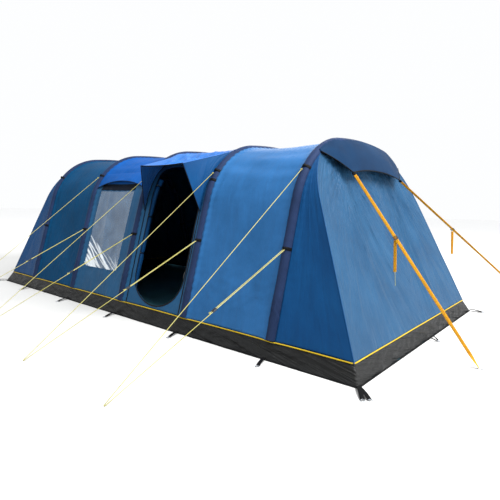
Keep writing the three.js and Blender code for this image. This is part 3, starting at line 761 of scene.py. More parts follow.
def make_vent(end, turn):
    """The mesh under a hood, from the end panel's top up to the arch."""
    inner = Arch(FLY_INSET + 0.003)
    low = SLOPE_TOP + 0.004
    half = inner.half_width(low)

    def place(u, v):
        y = half * (2 * u - 1)
        s = inner.half - (abs(y) if abs(y) < 0.55 else abs(y) * 1.02)
        top = max(inner.section(max(s, inner.up_to(low)))[1], low)
        z = low + (top - low) * v
        return turn(Vector((END_FACE + 0.002 + 0.001 * wander(9 * u, 4 * v, 1), y, z)))

    vent = cloth_sheet(end + "_vent_mesh", (2 * half, VENT_CLOTH), (60, 8), place)
    finish_piece(vent, "mesh", (end + "_vent",))


# ---------------------------------------------------------------- hood, eave and canopy


def hood_root(y):
    """Height of the hood's root on the arch, at a distance from the middle; found in a few steps."""
    hood = Arch(0.018)
    s = hood.half - abs(y) * 1.005
    for _ in range(4):
        s += (-hood.section(s)[0] - abs(y))
    return hood.section(s)[1]


def make_hoods():
    """The hoods over both end vents: two peaks, a scalloped edge between them, and a bound rim."""
    low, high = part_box("rear_hood")
    peak_x, shoulder_y, peak_z = high[0], high[1], low[2] + 0.003
    peak_y, scallop, peak_place = 0.62, 0.055, 0.22
    root_x = low[0]

    def edge(place):
        side = -1 if place < 0.5 else 1
        inner = min(place, 1 - place)
        if inner < peak_place:
            part = inner / peak_place
            shoulder = Vector((root_x + 0.012, side * shoulder_y, hood_root(shoulder_y) - 0.012))
            line = shoulder.lerp(Vector((peak_x, side * peak_y, peak_z)), part)
            return line + Vector((0, 0, 0.012)) * math.sin(math.pi * part)
        across = (place - 0.5) / (0.5 - peak_place)
        return Vector((peak_x - 0.012 * (1 - across ** 2), across * peak_y,
                       peak_z + scallop * (1 - abs(across) ** 2.2)))

    def top(u, v):
        y = shoulder_y * (2 * u - 1)
        root = Vector((root_x - 0.02, y, hood_root(abs(y)) + 0.008))
        middle = root.lerp(edge(u), v)
        bow = 0.028 * math.sin(math.pi * v) * math.sin(math.pi * u) ** 0.5
        ripple = 0.004 * wander(9 * u, 2.5 * v, 4) * math.sin(math.pi * v)
        pull = -0.01 * math.exp(-((min(u, 1 - u) - peak_place) / 0.05) ** 2) * v * (1 - v) * 4
        return middle + Vector((0.45, 0, 0.9)) * (bow + ripple + pull)

    rim_steps = 120
    for end, turn in ENDS:
        sheet = cloth_sheet(end + "_hood_cloth", (2.1, 0.42), (96, 24), lambda u, v: turn(top(1 - u, v)))
        finish_piece(sheet, "hood", (end + "_hood",))
        rim = [turn(top(k / rim_steps, 1.0)) for k in range(rim_steps + 1)]
        tape = sweep(end + "_hood_binding", rim, [turn(Vector((0.6, 0, 0.8)))] * len(rim),
                     round_section(0.0055, 8))
        finish_piece(tape, "black_web")


def make_eave():
    """The rain eave over the window: the roof cloth hangs on past the wall seam with a scalloped edge."""
    x0, x1 = bay_span("bc")
    root_z, edge_z, scallop = 1.74, 1.525, 0.085
    s_top = FLY.up_to(root_z)

    def bottom(u):
        return edge_z + scallop * (4 * u * (1 - u)) ** 0.8

    def place(u, v):
        s_low = FLY.up_to(bottom(u))
        s = s_low + (s_top - s_low) * v
        out = 0.012 + 0.022 * (1 - v) * math.sin(math.pi * u) + 0.004 * wander(7 * u, 3 * v, 2)
        out *= 1 - v ** 3
        return FLY.point(x0 + (x1 - x0) * u, s, out + 0.002)

    eave = cloth_sheet("window_eave_cloth", (x1 - x0, 0.19), (60, 14), place)
    finish_piece(eave, "roof", ("window_eave",))
    rim_steps = 50
    rim = [place(k / rim_steps, 0.0) for k in range(rim_steps + 1)]
    tape = sweep("window_eave_binding", rim, [Vector((0, -1, 0.2))] * len(rim), round_section(0.004, 8))
    finish_piece(tape, "black_web")


# Where the canopy's roof leaves the arch
CANOPY_ROOT = FLY.leg + FLY.r * (math.radians(68) - LEG_LEAN)


def make_canopy():
    """The canopy over the door: a wrinkled roof sheet with a bound front edge, and its two wings."""
    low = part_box("canopy_roof")[0]
    left_wing, right_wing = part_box("canopy_wing_left"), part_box("canopy_wing_right")
    tip_y, tip_z = low[1], low[2] + 0.002
    left, right = left_wing[1][0], right_wing[0][0]
    wall_left, wall_right = left_wing[0][0], right_wing[1][0]
    x0, x1 = bay_span("cd")

    def roof(u, v):
        root = FLY.point(x0 + (x1 - x0) * u, CANOPY_ROOT + 0.1, -0.012 * 4 * u * (1 - u) + 0.003)
        tip = Vector((left + (right - left) * u, tip_y, tip_z - 0.012 * 4 * u * (1 - u)))
        point = root.lerp(tip, v)
        span = 4 * u * (1 - u)
        sag = -0.028 * span * math.sin(math.pi * v)
        streak = crumple(3.2 * u - 1.4 * v, 1.1 * v, 3.7) * 0.026 * math.sin(math.pi * min(v + 0.12, 1))
        streak += crumple(7 * u + 2.5 * v, 1.0 * v, 5.5) * 0.015 * v * (1 - v) * 4
        lift = 0.02 * math.exp(-((v - 0.1) / 0.15) ** 2)
        return point + Vector((0, -0.25, 0.97)) * (sag + streak * min(6 * min(u, 1 - u), 1) + lift)

    sheet = cloth_sheet("canopy_roof_cloth", CANOPY_CLOTH, (80, 56), lambda u, v: roof(1 - u, v))
    finish_piece(sheet, "canopy", ("canopy_roof",))
    rim_steps = 60
    rim = [roof(k / rim_steps, 1.0) for k in range(rim_steps + 1)]
    tape = sweep("canopy_front_binding", rim, [Vector((0, -0.9, 0.4))] * len(rim), round_section(0.006, 8))
    finish_piece(tape, "black_web")
    for name, edge_u, wall_x in (("left", 0.0, wall_left), ("right", 1.0, wall_right)):
        make_wing(name, edge_u, wall_x, roof)


def make_wing(name, edge_u, wall_x, roof):
    """A triangular side wing: its top edge hangs from the canopy roof, its back edge is sewn to the wall."""
    foot_z = 1.255
    foot_s = FLY.up_to(foot_z)
    top_s = CANOPY_ROOT - 0.01

    def place(u, v):
        back = FLY.point(wall_x, foot_s + (top_s - foot_s) * v, 0.004)
        tip = roof(edge_u, 1.0)
        foot = FLY.point(wall_x, foot_s, 0.004)
        front = foot.lerp(tip, v)
        upper = roof(edge_u, u)
        along = back.lerp(front, u)
        top_edge = upper - Vector((0, 0, 0.004))
        along = along.lerp(top_edge, v ** 5)
        span = math.sin(math.pi * v) * math.sin(math.pi * u)
        side = -1 if name == "left" else 1
        along.x += side * (0.012 * span + 0.006 * wander(4 * u, 3 * v, 2 + side) * span)
        return along

    flip = name == "left"
    wing = cloth_sheet(f"canopy_{name}_wing_cloth", (0.7, 0.8), (40, 44),
                       lambda u, v: place(1 - u if flip else u, v))
    finish_piece(wing, "canopy" if flip else "fly_dark", (f"canopy_wing_{name}",))
    rim_steps = 50
    rim = [place(1.0, k / rim_steps) for k in range(rim_steps + 1)]
    tape = sweep(f"canopy_{name}_wing_binding", rim, [Vector((0, -1, 0))] * len(rim),
                 round_section(0.0045, 8))
    finish_piece(tape, "black_web")


# ---------------------------------------------------------------- window and door


def film_crinkle(x, y, width):
    """The film's creases, 0 to 1: slanting ones along its foot, and fans out of its lower corners."""
    total = 0.0
    for corner, seed, weight in ((0.0, 3.0, 0.2), (width, 9.0, 0.9)):
        dx, dy = abs(x - corner), max(y, 0.0)
        reach = math.hypot(dx, dy)
        angle = math.atan2(dy, dx + 0.02)
        sharp = max(1 - abs(5.0 * wander(6.5 * angle, 0.8 * reach, seed)), 0)
        total += sharp ** 1.5 * math.exp(-(reach / 0.2) ** 2) * min(reach / 0.03, 1) * weight
    parallel = max(1 - abs(5 * wander(12 * (x + 1.4 * y), 0.9 * (y - x), 12)), 0)
    below = min(max((0.42 * (1 - x / width) + 0.08 - y) / 0.12, 0), 1)
    total += parallel ** 1.3 * below * 1.2
    return min(total, 1)


def make_window(sizes):
    """The clear film with its whitened creases, the mesh strip over it and the tape round its seam."""
    low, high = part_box("window_pane")
    x0, x1 = low[0] - 0.002, high[0] + 0.002
    s0, s1 = FLY.up_to(low[2]) - 0.002, FLY.up_to(high[2]) + 0.002
    width, tall = x1 - x0, s1 - s0
    slack = bay_slack("bc", sizes)
    bay0, bay1 = bay_span("bc")

    def place(u, v):
        x, s = x0 + width * u, s0 + tall * v
        base = slack((x - bay0) / (bay1 - bay0), s)
        crinkle = film_crinkle(u * width, v * tall, width) * 0.010
        soft = 0.004 * wander(2.2 * u + 2 * v, 1.5 * v, 15)
        held = min(10 * min(u, 1 - u, v, 1 - v), 1)
        return FLY.point(x, s, base * 0.9 - 0.001 + (crinkle + soft) * held)

    film = cloth_sheet("window_film", (width, tall), (110, 140), place, thickness=0.0008)
    # The crease mask is a painted highlight in the film's colour
    white = film.data.attributes.new("whitening", "FLOAT", "POINT")
    for vertex in film.data.vertices:
        s = FLY.up_to(vertex.co.z)
        white.data[vertex.index].value = film_crinkle(vertex.co.x - x0, s - s0, width)
    finish_piece(film, "film", ("window_pane",))
    # Painted shade: a near-black mesh strip fills the band between the film and the eave, where the eave's
    # shadow falls
    shade_low, shade_high = high[2] + 0.004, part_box("window_wall")[1][2] - 0.01
    v0, v1 = FLY.up_to(shade_low), FLY.up_to(shade_high)

    def shade_strip_place(u, v):
        x, s = x0 + width * u, v0 + (v1 - v0) * v
        base = slack((x - bay0) / (bay1 - bay0), s)
        return FLY.point(x, s, base + 0.0022 + 0.002 * wander(12 * u + 3 * v, v, 6))

    vent = cloth_sheet("window_vent_mesh", (width, v1 - v0), (60, 10), shade_strip_place)
    finish_piece(vent, "mesh")
    seam_tape = flat_section(0.014, 0.0015)
    make_outline_tape("window_seam_tape", window_outline(), seam_tape, "fly_mid", slack, "bc")


def on_wall(slack, bay, x, z, out):
    """A point on a bay's near wall, and the wall's outward direction there."""
    bay0, bay1 = bay_span(bay)
    s = FLY.up_to(z)
    return FLY.point(x, s, slack((x - bay0) / (bay1 - bay0), s) + out), FLY.normal(s)


def make_outline_tape(name, outline, section, material, slack, bay, nodes=()):
    """A tape that runs round an opening of the wall."""
    path, normals, dense = [], [], []
    for (xa, za), (xb, zb) in zip(outline, outline[1:] + outline[:1]):
        steps = max(1, int(math.hypot(xb - xa, zb - za) / 0.02))
        dense += [(xa + (xb - xa) * k / steps, za + (zb - za) * k / steps) for k in range(steps)]
    for x, z in dense:
        point, normal = on_wall(slack, bay, x, z, 0.0003)
        path.append(point)
        normals.append(normal)
    tape = sweep(name, path, normals, section, closed=True)
    finish_piece(tape, material, nodes)


def make_door(sizes):
    """The zip round the door, the two porch zips beside it, the rolled door panel and the zip's slider."""
    slack = bay_slack("cd", sizes)
    make_outline_tape("door_zip_chain", door_outline(0.004), flat_section(0.016, 0.0028), "zip",
                      slack, "cd", ("door_zip",))
    steps = 90
    z_low = MUD_TOP + 0.006
    for name, x_low, x_high, z_high in (("left", 0.105, 0.085, 1.84), ("right", 1.045, 1.062, 1.3)):
        heights = [z_low + (z_high - z_low) * k / steps for k in range(steps + 1)]
        lane = [x_low + (x_high - x_low) * k / steps for k in range(steps + 1)]
        places = [on_wall(slack, "cd", x, z, 0.0006) for x, z in zip(lane, heights)]
        tape = sweep(f"porch_zip_{name}", [p for p, n in places], [n for p, n in places],
                     flat_section(0.016, 0.003))
        finish_piece(tape, "zip")
    make_door_roll()
    make_slider()


def make_door_roll():
    """The door panel rolled up lengthways inside the opening's edge, tied with three toggled loops."""
    low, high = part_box("door_roll")
    middle_x = (low[0] + high[0]) / 2 - 0.004
    inset = FLY_INSET + 0.052
    core = Arch(inset)
    s0, s1 = core.up_to(low[2] + 0.02), core.up_to(high[2] + 0.26)
    count = 110
    path = []
    for k in range(count + 1):
        s = s0 + (s1 - s0) * k / count
        path.append(core.point(middle_x + 0.01 * wander(2 * s, 1, 1) + 0.02 * (k / count) ** 3, s))
    ties = (0.3, 0.64, 0.93)
    sides = 28

    def swell(run, j):
        part = run / (s1 - s0)
        tied = sum(math.exp(-((part - t) / 0.018) ** 2) for t in ties)
        layers = 0.07 * math.sin(5 * TAU * j / sides + 1.5 * part)
        return -0.3 * min(tied, 1) + layers + 0.1 * wander(0.4 * j, 12 * part, 3)

    normals = [core.normal(core.up_to(p.z)) for p in path]
    roll = sweep("door_roll_cloth", path, normals, round_section(0.031, sides), swell=swell)
    apply_modifier(roll, "SUBSURF", levels=1, render_levels=1)
    finish_piece(roll, "fly_dark", ("door_roll",))
    tie_radius, tie_steps = 0.028, 32
    for number, part in enumerate(ties):
        k = int(part * count)
        ring = []
        for j in range(tie_steps):
            angle = TAU * j / tie_steps
            ring.append(path[k] + Vector((1, 0, 0)) * tie_radius * math.cos(angle)
                        + normals[k] * tie_radius * math.sin(angle))
        band = sweep(f"door_tie_{number + 1}", ring, [(p - path[k]).normalized() for p in ring],
                     flat_section(0.012, 0.0018), closed=True)
        finish_piece(band, "black_web")
        bpy.ops.object.select_all(action="DESELECT")
        bpy.ops.mesh.primitive_cylinder_add(vertices=20, radius=0.006, depth=0.042,
                                            location=path[k] + normals[k] * 0.036 + Vector((0.012, 0, 0)),
                                            rotation=(0, math.radians(78), 0))
        toggle = bpy.context.object
        toggle.name = f"door_toggle_{number + 1}"
        place_in_mesh(toggle)
        apply_modifier(toggle, "BEVEL", width=0.0028, segments=3)
        smooth(toggle)
        finish_piece(toggle, "steel")


def place_in_mesh(obj):
    """Moves an object's place, turn and scale into its mesh, so that the object itself is at the origin."""
    only(obj)
    bpy.ops.object.transform_apply(location=True, rotation=True, scale=True)


def make_slider():
    """Zip slider with a cord pull, on the straight right-hand side of the door."""
    width, thickness, length = 0.014, 0.0055, 0.026
    lean = Matrix.Rotation(-LEG_LEAN, 4, "X")
    body = box_piece("slider", (width, thickness, length))
    bpy.ops.object.mode_set(mode="EDIT")
    bpy.ops.mesh.select_all(action="SELECT")
    bpy.ops.mesh.subdivide(number_cuts=2)
    bpy.ops.object.mode_set(mode="OBJECT")
    for vertex in body.data.vertices:
        waist = 1 - 0.28 * (0.5 + vertex.co.z / length)
        vertex.co.x *= waist
    apply_modifier(body, "BEVEL", width=0.0012, segments=3)
    bpy.ops.object.select_all(action="DESELECT")
    bpy.ops.mesh.primitive_torus_add(major_radius=0.0052, minor_radius=0.0011, major_segments=24,
                                     minor_segments=8, location=(0, -0.0042, -0.009),
                                     rotation=(0, math.radians(90), 0))
    ring = bpy.context.object
    place_in_mesh(ring)
    pull = sweep("pull", straight(Vector((0, -0.0052, -0.013)), Vector((0, -0.0075, -0.062)), 8),
                 [Vector((0, -1, 0))] * 9, flat_section(0.009, 0.0022))
    slider = join("door_zip_slider", [body, ring, pull])
    slider.data.transform(Matrix.Translation(node_middle("door_slider")) @ lean)
    smooth(slider, HARD_EDGE)
    finish_piece(slider, "plastic", ("door_slider",), "door_slider")


# ---------------------------------------------------------------- beams


def make_beams():
    """Each beam's sleeve, bladder, valve and webbing loops."""
    for number, name in enumerate(BEAM_NAMES):
        make_sleeve(number, name)
        make_bladder(name)
        for side in (-1, 1):
            for height in (LOWER_LOOP, UPPER_LOOP):
                make_sleeve_strap(name, side, height)
            if name in "cd" and side < 0:
                make_sleeve_strap(name, side, CANOPY_LOOP, "canopy")


def beam_path(name, foot, count):
    """A beam's centre line from one foot to the other, its outward directions and its length."""
    s0 = CORE.up_to(foot)
    s1 = CORE.total - s0
    stations = [s0 + (s1 - s0) * k / count for k in range(count + 1)]
    return [CORE.point(BEAM_X[name], s) for s in stations], [CORE.normal(s) for s in stations], s1 - s0


def make_sleeve(number, name):
    """The cloth tube round a beam, rumpled over the valve patch and ribbed along its seams."""
    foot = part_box("beam_sleeve_" + name)[0][2] + 0.002
    path, normals, length = beam_path(name, foot, 300)
    sides = 40
    seed = 3.1 * number

    def swell(run, j):
        angle = TAU * j / sides
        from_foot = min(run, length - run)
        outer = 0.5 + 0.5 * math.sin(angle)
        cuff = math.exp(-from_foot / 0.05) * 0.1 * wander(3 * math.cos(angle), 6 * run, seed)
        patch = math.exp(-((from_foot - 0.26) / 0.13) ** 2) * outer
        rumple = patch * max(crumple(5 * math.cos(angle), 19 * run, seed) + 0.45, 0) * 0.2
        rib = 0.012 * math.sin(TAU * run / 0.09 + 2 * wander(run, seed, 1)) * (0.3 + abs(math.cos(angle)))
        bend = math.exp(-((from_foot - 1.75) / 0.3) ** 2) * (1 - outer)
        ring = 0.02 * bend * math.sin(TAU * run / 0.05)
        return 0.01 * wander(2 * math.cos(angle), 3 * run, seed + 4) + rib + rumple + cuff + ring - 0.012

    sleeve = sweep("sleeve_cloth_" + name, path, normals, round_section(SLEEVE_RADIUS, sides), swell=swell,
                   caps=False)
    apply_modifier(sleeve, "SOLIDIFY", thickness=0.0012, offset=-1)
    smooth(sleeve, 60)
    finish_piece(sleeve, "sleeve", ("beam_sleeve_" + name,))


def make_bladder(name):
    """The air tube with its valve boss, and the ribbed cap that turns on it."""
    tube_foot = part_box("air_beam_" + name)[0][2] + 0.01
    path, normals, length = beam_path(name, tube_foot, 120)

    def swell(run, j):
        end = min(run, length - run)
        return -0.5 * math.exp(-end / 0.012)

    tube = sweep("tube", path, normals, round_section(0.0455, 24), swell=swell)
    valve_s = CORE.up_to(VALVE_HEIGHT)
    inward = -CORE.normal(valve_s)
    centre = CORE.point(BEAM_X[name], valve_s)
    boss_profile = [(0.0, 0.03), (0.0175, 0.03), (0.0175, 0.05), (0.0165, 0.0515), (0.0165, 0.0565),
                    (0.0175, 0.0575), (0.0, 0.0575)]
    boss = turned_piece("boss", boss_profile, centre, inward, 32)
    bladder = join("bladder_" + name, [tube, boss])
    finish_piece(bladder, "bladder", ("air_beam_" + name,))
    foot, top, rim = 0.0588, 0.0702, 0.0235
    cap_profile = [(0.0, foot), (0.0205, foot), (rim, foot + 0.002), (rim, top - 0.003),
                   (0.0205, top - 0.0004), (0.014, top - 0.0004), (0.012, top - 0.0025), (0.0, top - 0.0025)]
    cap = turned_piece("valve_cap_moulded_" + name, cap_profile, centre, inward, 48, grips=12)
    finish_piece(cap, "plastic", ("valve_cap_" + name,), "valve_cap_" + name)


def turned_piece(name, profile, centre, axis, sides, grips=0):
    """A profile of (radius, height) spun round an axis; grips are finger notches round its rim."""
    bpy.ops.object.select_all(action="DESELECT")
    mesh = bpy.data.meshes.new(name)
    mesh.from_pydata([(r, 0, h) for r, h in profile], [(k, k + 1) for k in range(len(profile) - 1)], [])
    obj = bpy.data.objects.new(name, mesh)
    bpy.context.scene.collection.objects.link(obj)
    only(obj)
    bpy.ops.object.mode_set(mode="EDIT")
    bpy.ops.mesh.select_all(action="SELECT")
    bpy.ops.mesh.spin(steps=sides, angle=TAU, center=(0, 0, 0), axis=(0, 0, 1), dupli=False)
    bpy.ops.mesh.select_all(action="SELECT")
    bpy.ops.mesh.remove_doubles(threshold=0.00002)
    bpy.ops.mesh.normals_make_consistent(inside=False)
    bpy.ops.object.mode_set(mode="OBJECT")
    if grips:
        rim = max(r for r, h in profile)
        for vertex in obj.data.vertices:
            radius = math.hypot(vertex.co.x, vertex.co.y)
            if radius > 0.85 * rim:
                angle = math.atan2(vertex.co.y, vertex.co.x)
                dent = 1 - 0.05 * (0.5 + 0.5 * math.cos(grips * angle))
                vertex.co.x *= dent
                vertex.co.y *= dent
    turn = Vector((0, 0, 1)).rotation_difference(axis).to_matrix().to_4x4()
    obj.data.transform(Matrix.Translation(centre) @ turn)
    smooth(obj, HARD_EDGE)
    return obj


def make_sleeve_strap(name, side, height, use="guy"):
    """Black webbing round the sleeve with a tab that holds the guy rope."""
    s = CORE.up_to(height)
    centre = CORE.point(BEAM_X[name], s)
    out = CORE.normal(s)
    if side > 0:
        centre.y, out.y = -centre.y, -out.y
    ring = []
    ring_steps, loop_steps = 40, 24
    for k in range(ring_steps):
        angle = TAU * k / ring_steps
        spoke = Vector((1, 0, 0)) * math.cos(angle) + out * math.sin(angle)
        ring.append(centre + spoke * (SLEEVE_RADIUS + 0.0012))
    spokes = [(p - centre).normalized() for p in ring]
    parts = [sweep("band", ring, spokes, flat_section(0.03, 0.002), closed=True)]
    if use == "guy":
        half_loop, foot, peak = 0.030, SLEEVE_RADIUS - 0.008, SLEEVE_RADIUS + 0.0175
        loop = []
        for k in range(loop_steps + 1):
            across = 2 * k / loop_steps - 1
            lift = foot + (peak - foot) * (1 - abs(across) ** 1.7)
            loop.append(centre + Vector((half_loop * across, 0, 0)) + out * lift)
        facing = [(p - centre).normalized() for p in loop]
        parts.append(sweep("loop", loop, facing, flat_section(0.02, 0.0018)))
    side_name = "near" if side < 0 else "far"
    strap = join(f"sleeve_strap_{use}_{name}_{side_name}_{int(height * 100)}", parts)
    finish_piece(strap, "black_web")


# ---------------------------------------------------------------- mud wall, piping and floor


def mud_wall(name, start, end, out, splay, node, seed):
    """A band along one side of the ground, from its foot up to the piping."""
    span = (end - start).length
    along = (end - start).normalized()

    def place(u, v):
        inward = splay * v
        left = start + along * inward - out * inward
        right = end - along * inward - out * inward
        point = left.lerp(right, u)
        x = span * u
        belly = 0.007 * math.sin(math.pi * v) * wander(1.3 * x, seed, 0)
        crease = crumple(2.2 * x + 1.2 * v, 1.4 * v, seed) * 0.02 * (1 - 0.5 * v)
        crease += crumple(6 * x - 2.5 * v, 1.8 * v, seed + 5) * 0.009
        edge = min(12 * min(u, 1 - u), 1)
        point = point + out * (belly + crease) * edge * (0.25 + 0.75 * math.sin(math.pi * min(v + 0.15, 1)))
        point.z = 0.002 + (MUD_TOP - 0.002) * v
        if v == 0:
            point.z = 0.0012
        return point

    sheet = cloth_sheet(name, (span, MUD_CLOTH), (int(span / 0.02), 12), place,
                        pull=lambda u, v: (0.45 * span * u + 0.35 * v, 0.5 * v + 0.3 * span * u))
    finish_piece(sheet, "mud", (node,))


def four_corners(x, y, z=0.0):
    """The corners of a rectangle round the tent, from the near front one past the near rear one."""
    return [Vector((-x, -y, z)), Vector((x, -y, z)), Vector((x, y, z)), Vector((-x, y, z))]


def sides_of(corners):
    return zip(corners, corners[1:] + corners[:1])


def outward(path, x, y, margin, lift):
    """Outward directions of a line that runs round the tent's foot."""
    directions = []
    for p in path:
        across = p.x / x if abs(p.x) > x - margin else 0
        along = p.y / y if abs(p.y) > y - margin else 0
        directions.append(Vector((across, along, lift)).normalized())
    return directions


def make_ground():
    """Everything that lies on the ground: mud wall, hem, piping, floor sheet and pegging straps."""
    corners = four_corners(HALF_LENGTH - 0.001, HALF_WIDTH - 0.001)
    rows = (("near", 0, 1, Vector((0, -1, 0))), ("rear", 1, 2, Vector((1, 0, 0))),
            ("far", 2, 3, Vector((0, 1, 0))), ("front", 3, 0, Vector((-1, 0, 0))))
    for number, (side, a, b, out) in enumerate(rows):
        mud_wall(f"mud_band_{side}", corners[a], corners[b], out, MUD_SPLAY, f"mud_wall_{side}", 2.7 * number)
    make_hem()
    make_piping()
    make_floor()
    make_peg_straps()


def make_hem():
    """Black bound edge where the mud wall meets the ground."""
    x, y, z = HALF_LENGTH - 0.0005, HALF_WIDTH - 0.0005, 0.0065
    path = []
    for start, end in sides_of(four_corners(x, y, z)):
        path += straight(start, end, 60)[:-1]
    hem = sweep("mud_wall_hem", path, outward(path, x, y, 0.001, 0.1), round_section(0.0055, 8), closed=True)
    finish_piece(hem, "black_web")


def make_piping():
    """Yellow piping in the seam over the mud wall, pulled down a little at each beam."""
    x, y = END_FOOT + 0.002, FLY.half_width(MUD_TOP) + 0.003
    radius = 0.02
    path = []
    for start, end in sides_of(four_corners(x, y)):
        along = (end - start).normalized()
        first, last = start + along * radius, end - along * radius
        steps = int((last - first).length / 0.03)
        for k in range(steps + 1):
            point = first.lerp(last, k / steps)
            dip = sum(math.exp(-abs(point.x - bx) / 0.08) for bx in BEAM_X.values()) if along.x else 0
            point.z = MUD_TOP - 0.008 * dip + 0.0015 * wander(2 * point.x, 2 * point.y, 3)
            path.append(point)
    cord = sweep("piping_cord", path, outward(path, x, y, 0.03, 0.2), round_section(0.0055, 10), closed=True)
    finish_piece(cord, "piping", ("piping",))


def make_floor():
    """The sewn-in floor sheet, lying in soft waves."""
    low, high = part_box("floor_sheet")
    width, length = high[0] - low[0], high[1] - low[1]

    def place(u, v):
        x, y = low[0] + width * u, low[1] + length * v
        wave = 0.5 + 0.5 * wander(1.6 * x, 1.6 * y, 4)
        crease = max(crumple(0.8 * x, 1.1 * y, 6), 0)
        return Vector((x, y, FLOOR_TOP + 0.002 * wave + 0.003 * crease))

    floor = cloth_sheet("floor_cloth", (width, length), (120, 66), place, thickness=0.0015)
    finish_piece(floor, "floor", ("floor_sheet",))


def peg_strap(name, start, end, width=0.035):
    """A black webbing strap from the foot of the mud wall to the ground, with a steel ring at its end."""
    out = (end - start).normalized()
    side = out.cross(Vector((0, 0, 1))).normalized()
    up = side.cross(out).normalized()
    steps, hump = 12, 0.008
    path = [point + Vector((0, 0, hump * math.sin(math.pi * k / steps)))
            for k, point in enumerate(straight(start, end, steps))]
    band = sweep(name, path, [up] * len(path), flat_section(width, 0.0022))
    finish_piece(band, "black_web")
    ring = []
    ring_radius, ring_steps = 0.016, 32
    centre = end + out * 0.013
    for k in range(ring_steps):
        angle = TAU * k / ring_steps
        ring.append(Vector((centre.x, centre.y, end.z + 0.001)) + out * ring_radius * math.cos(angle)
                    + side * ring_radius * math.sin(angle))
    hoop = sweep(name + "_ring", ring, [Vector((0, 0, 1))] * ring_steps, round_section(0.0022, 10),
                 closed=True)
    finish_piece(hoop, "steel")


def make_peg_straps():
    """One strap at each beam's foot, two at each corner and two at the middle of each end."""
    ground, root, sewn_in = 0.006, 0.02, 0.004
    for side, sign in (("near", -1), ("far", 1)):
        for name in BEAM_NAMES:
            x = BEAM_X[name]
            start = Vector((x, sign * (HALF_WIDTH - sewn_in), root))
            end = Vector((x + 0.055, sign * (HALF_WIDTH + 0.16), ground))
            peg_strap(f"peg_strap_{name}_{side}", start, end)
    for sx in (-1, 1):
        end_name = "rear" if sx > 0 else "front"
        for sy in (-1, 1):
            side = "near" if sy < 0 else "far"
            corner = Vector((sx * (HALF_LENGTH - sewn_in), sy * (HALF_WIDTH - sewn_in), root))
            for number, turn in enumerate((0.72, 0.98) if sy < 0 else (0.05, 0.35)):
                reach = Vector((sx * math.cos(turn), sy * math.sin(turn), 0)) * (0.2 if sy < 0 else 0.15)
                end = corner + reach
                end.z = ground
                peg_strap(f"peg_strap_{end_name}_{side}_{number + 1}", corner, end)
        for number, y in enumerate((-0.06, 0.06)):
            start = Vector((sx * (HALF_LENGTH - sewn_in), y, root))
            end = Vector((sx * (HALF_LENGTH + 0.09), y * 0.3 - 0.05, ground))
            peg_strap(f"peg_strap_{end_name}_middle_{number + 1}", start, end, 0.02)


# ---------------------------------------------------------------- inner tent


def make_inner_tent():
    """The bedroom in the rear bays: one cloth over walls and roof, a back, and a front with a doorway."""
    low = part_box("inner_tent")[0]
    room = Arch(0.15)
    x0, z0 = low[0], low[2]
    s0 = room.up_to(z0)
    length = room.total - 2 * s0

    def back_x(z):
        return end_x(z) - 0.07

    def walls(u, v):
        s = s0 + length * v
        y, z, ny, nz = room.section(s)
        x = x0 + (back_x(z) - x0) * u
        hang = -0.02 * math.sin(math.pi * u) * (1 + wander(3 * x, 2 * s, 1)) + 0.006 * crumple(2 * x, s, 2)
        return Vector((x, y + ny * hang, z + nz * hang))

    depth = back_x(z0) - x0
    shell = cloth_sheet("inner_tent_walls", (depth, length), (50, 160), walls)
    finish_piece(shell, "inner", ("inner_tent",))

    top = room.section(room.half)[1]

    def face(at_x, flip):
        def place(u, v):
            z = z0 + (top - z0) * v * 0.9985
            half = room.half_width(min(z, top - 0.004)) - 0.003
            y = half * ((2 * u - 1) if flip else (1 - 2 * u))
            sway = 0.006 * crumple(1.5 * y, z, 5) * math.sin(math.pi * u)
            return Vector((at_x(z) + sway, y, z))
        return place

    back = cloth_sheet("inner_tent_back", (3.0, 1.95), (90, 60), face(lambda z: back_x(z) - 0.004, True))
    finish_piece(back, "inner")
    front = cloth_sheet("inner_tent_front", (3.0, 1.95), (120, 80), face(lambda z: x0 + 0.003, False))
    half_door, door_height, sill = 0.65, 1.45, z0 + 0.08
    head = sill + door_height
    doorway = ((-half_door, sill), (half_door, sill), (half_door, head), (-half_door, head))
    cut_through(front, *[[(x, y, z) for y, z in doorway] for x in (x0 - 0.2, x0 + 0.2)])
    finish_piece(front, "inner")


# ---------------------------------------------------------------- guy ropes and storm straps

ROPE = 0.006
# The two strands of a doubled guy rope, as far apart as the runner's bores
STRAND_GAP = 0.016
PEG_Y = -3.1
# How far in X each rope's peg stands from its beam, and its runner from the lower loop
GUY_ROWS = {"b": (-0.335, 0.76), "c": (-0.325, 0.80), "d": (-0.315, 0.84), "e": (-0.240, 0.86)}
ANCHOR_ARCH = Arch(-0.014)


def half_turn(centre, start, forward, count):
    """The points between a strand's end and the next strand's start, round a loop or a peg."""
    points = []
    for k in range(1, count):
        angle = math.pi * k / count
        points.append(centre + start * math.cos(angle) + forward * math.sin(angle) * start.length)
    return points


def guy_route(name):
    """One rope: upper loop, peg, lower loop, and doubled back through the runner."""
    shift, runner = GUY_ROWS[name]
    x = BEAM_X[name]
    upper = ANCHOR_ARCH.point(x, ANCHOR_ARCH.up_to(UPPER_LOOP))
    lower = ANCHOR_ARCH.point(x, ANCHOR_ARCH.up_to(LOWER_LOOP))
    peg = Vector((x + shift, PEG_Y, 0.008))
    to_peg = (peg - lower).normalized()
    across = to_peg.cross(Vector((0, 0, 1))).normalized() * (STRAND_GAP / 2)
    into_peg = (to_peg + (peg - upper).normalized()).normalized()
    points = straight(upper, peg + across, 12)
    points += half_turn(peg, across, into_peg, 8)
    points += straight(peg - across, lower - across, 12)
    points += half_turn(lower, -across, -to_peg, 8)
    points += straight(lower + across, lower + across + to_peg * (runner + 0.06), 8)
    return points, lower, to_peg, across, runner


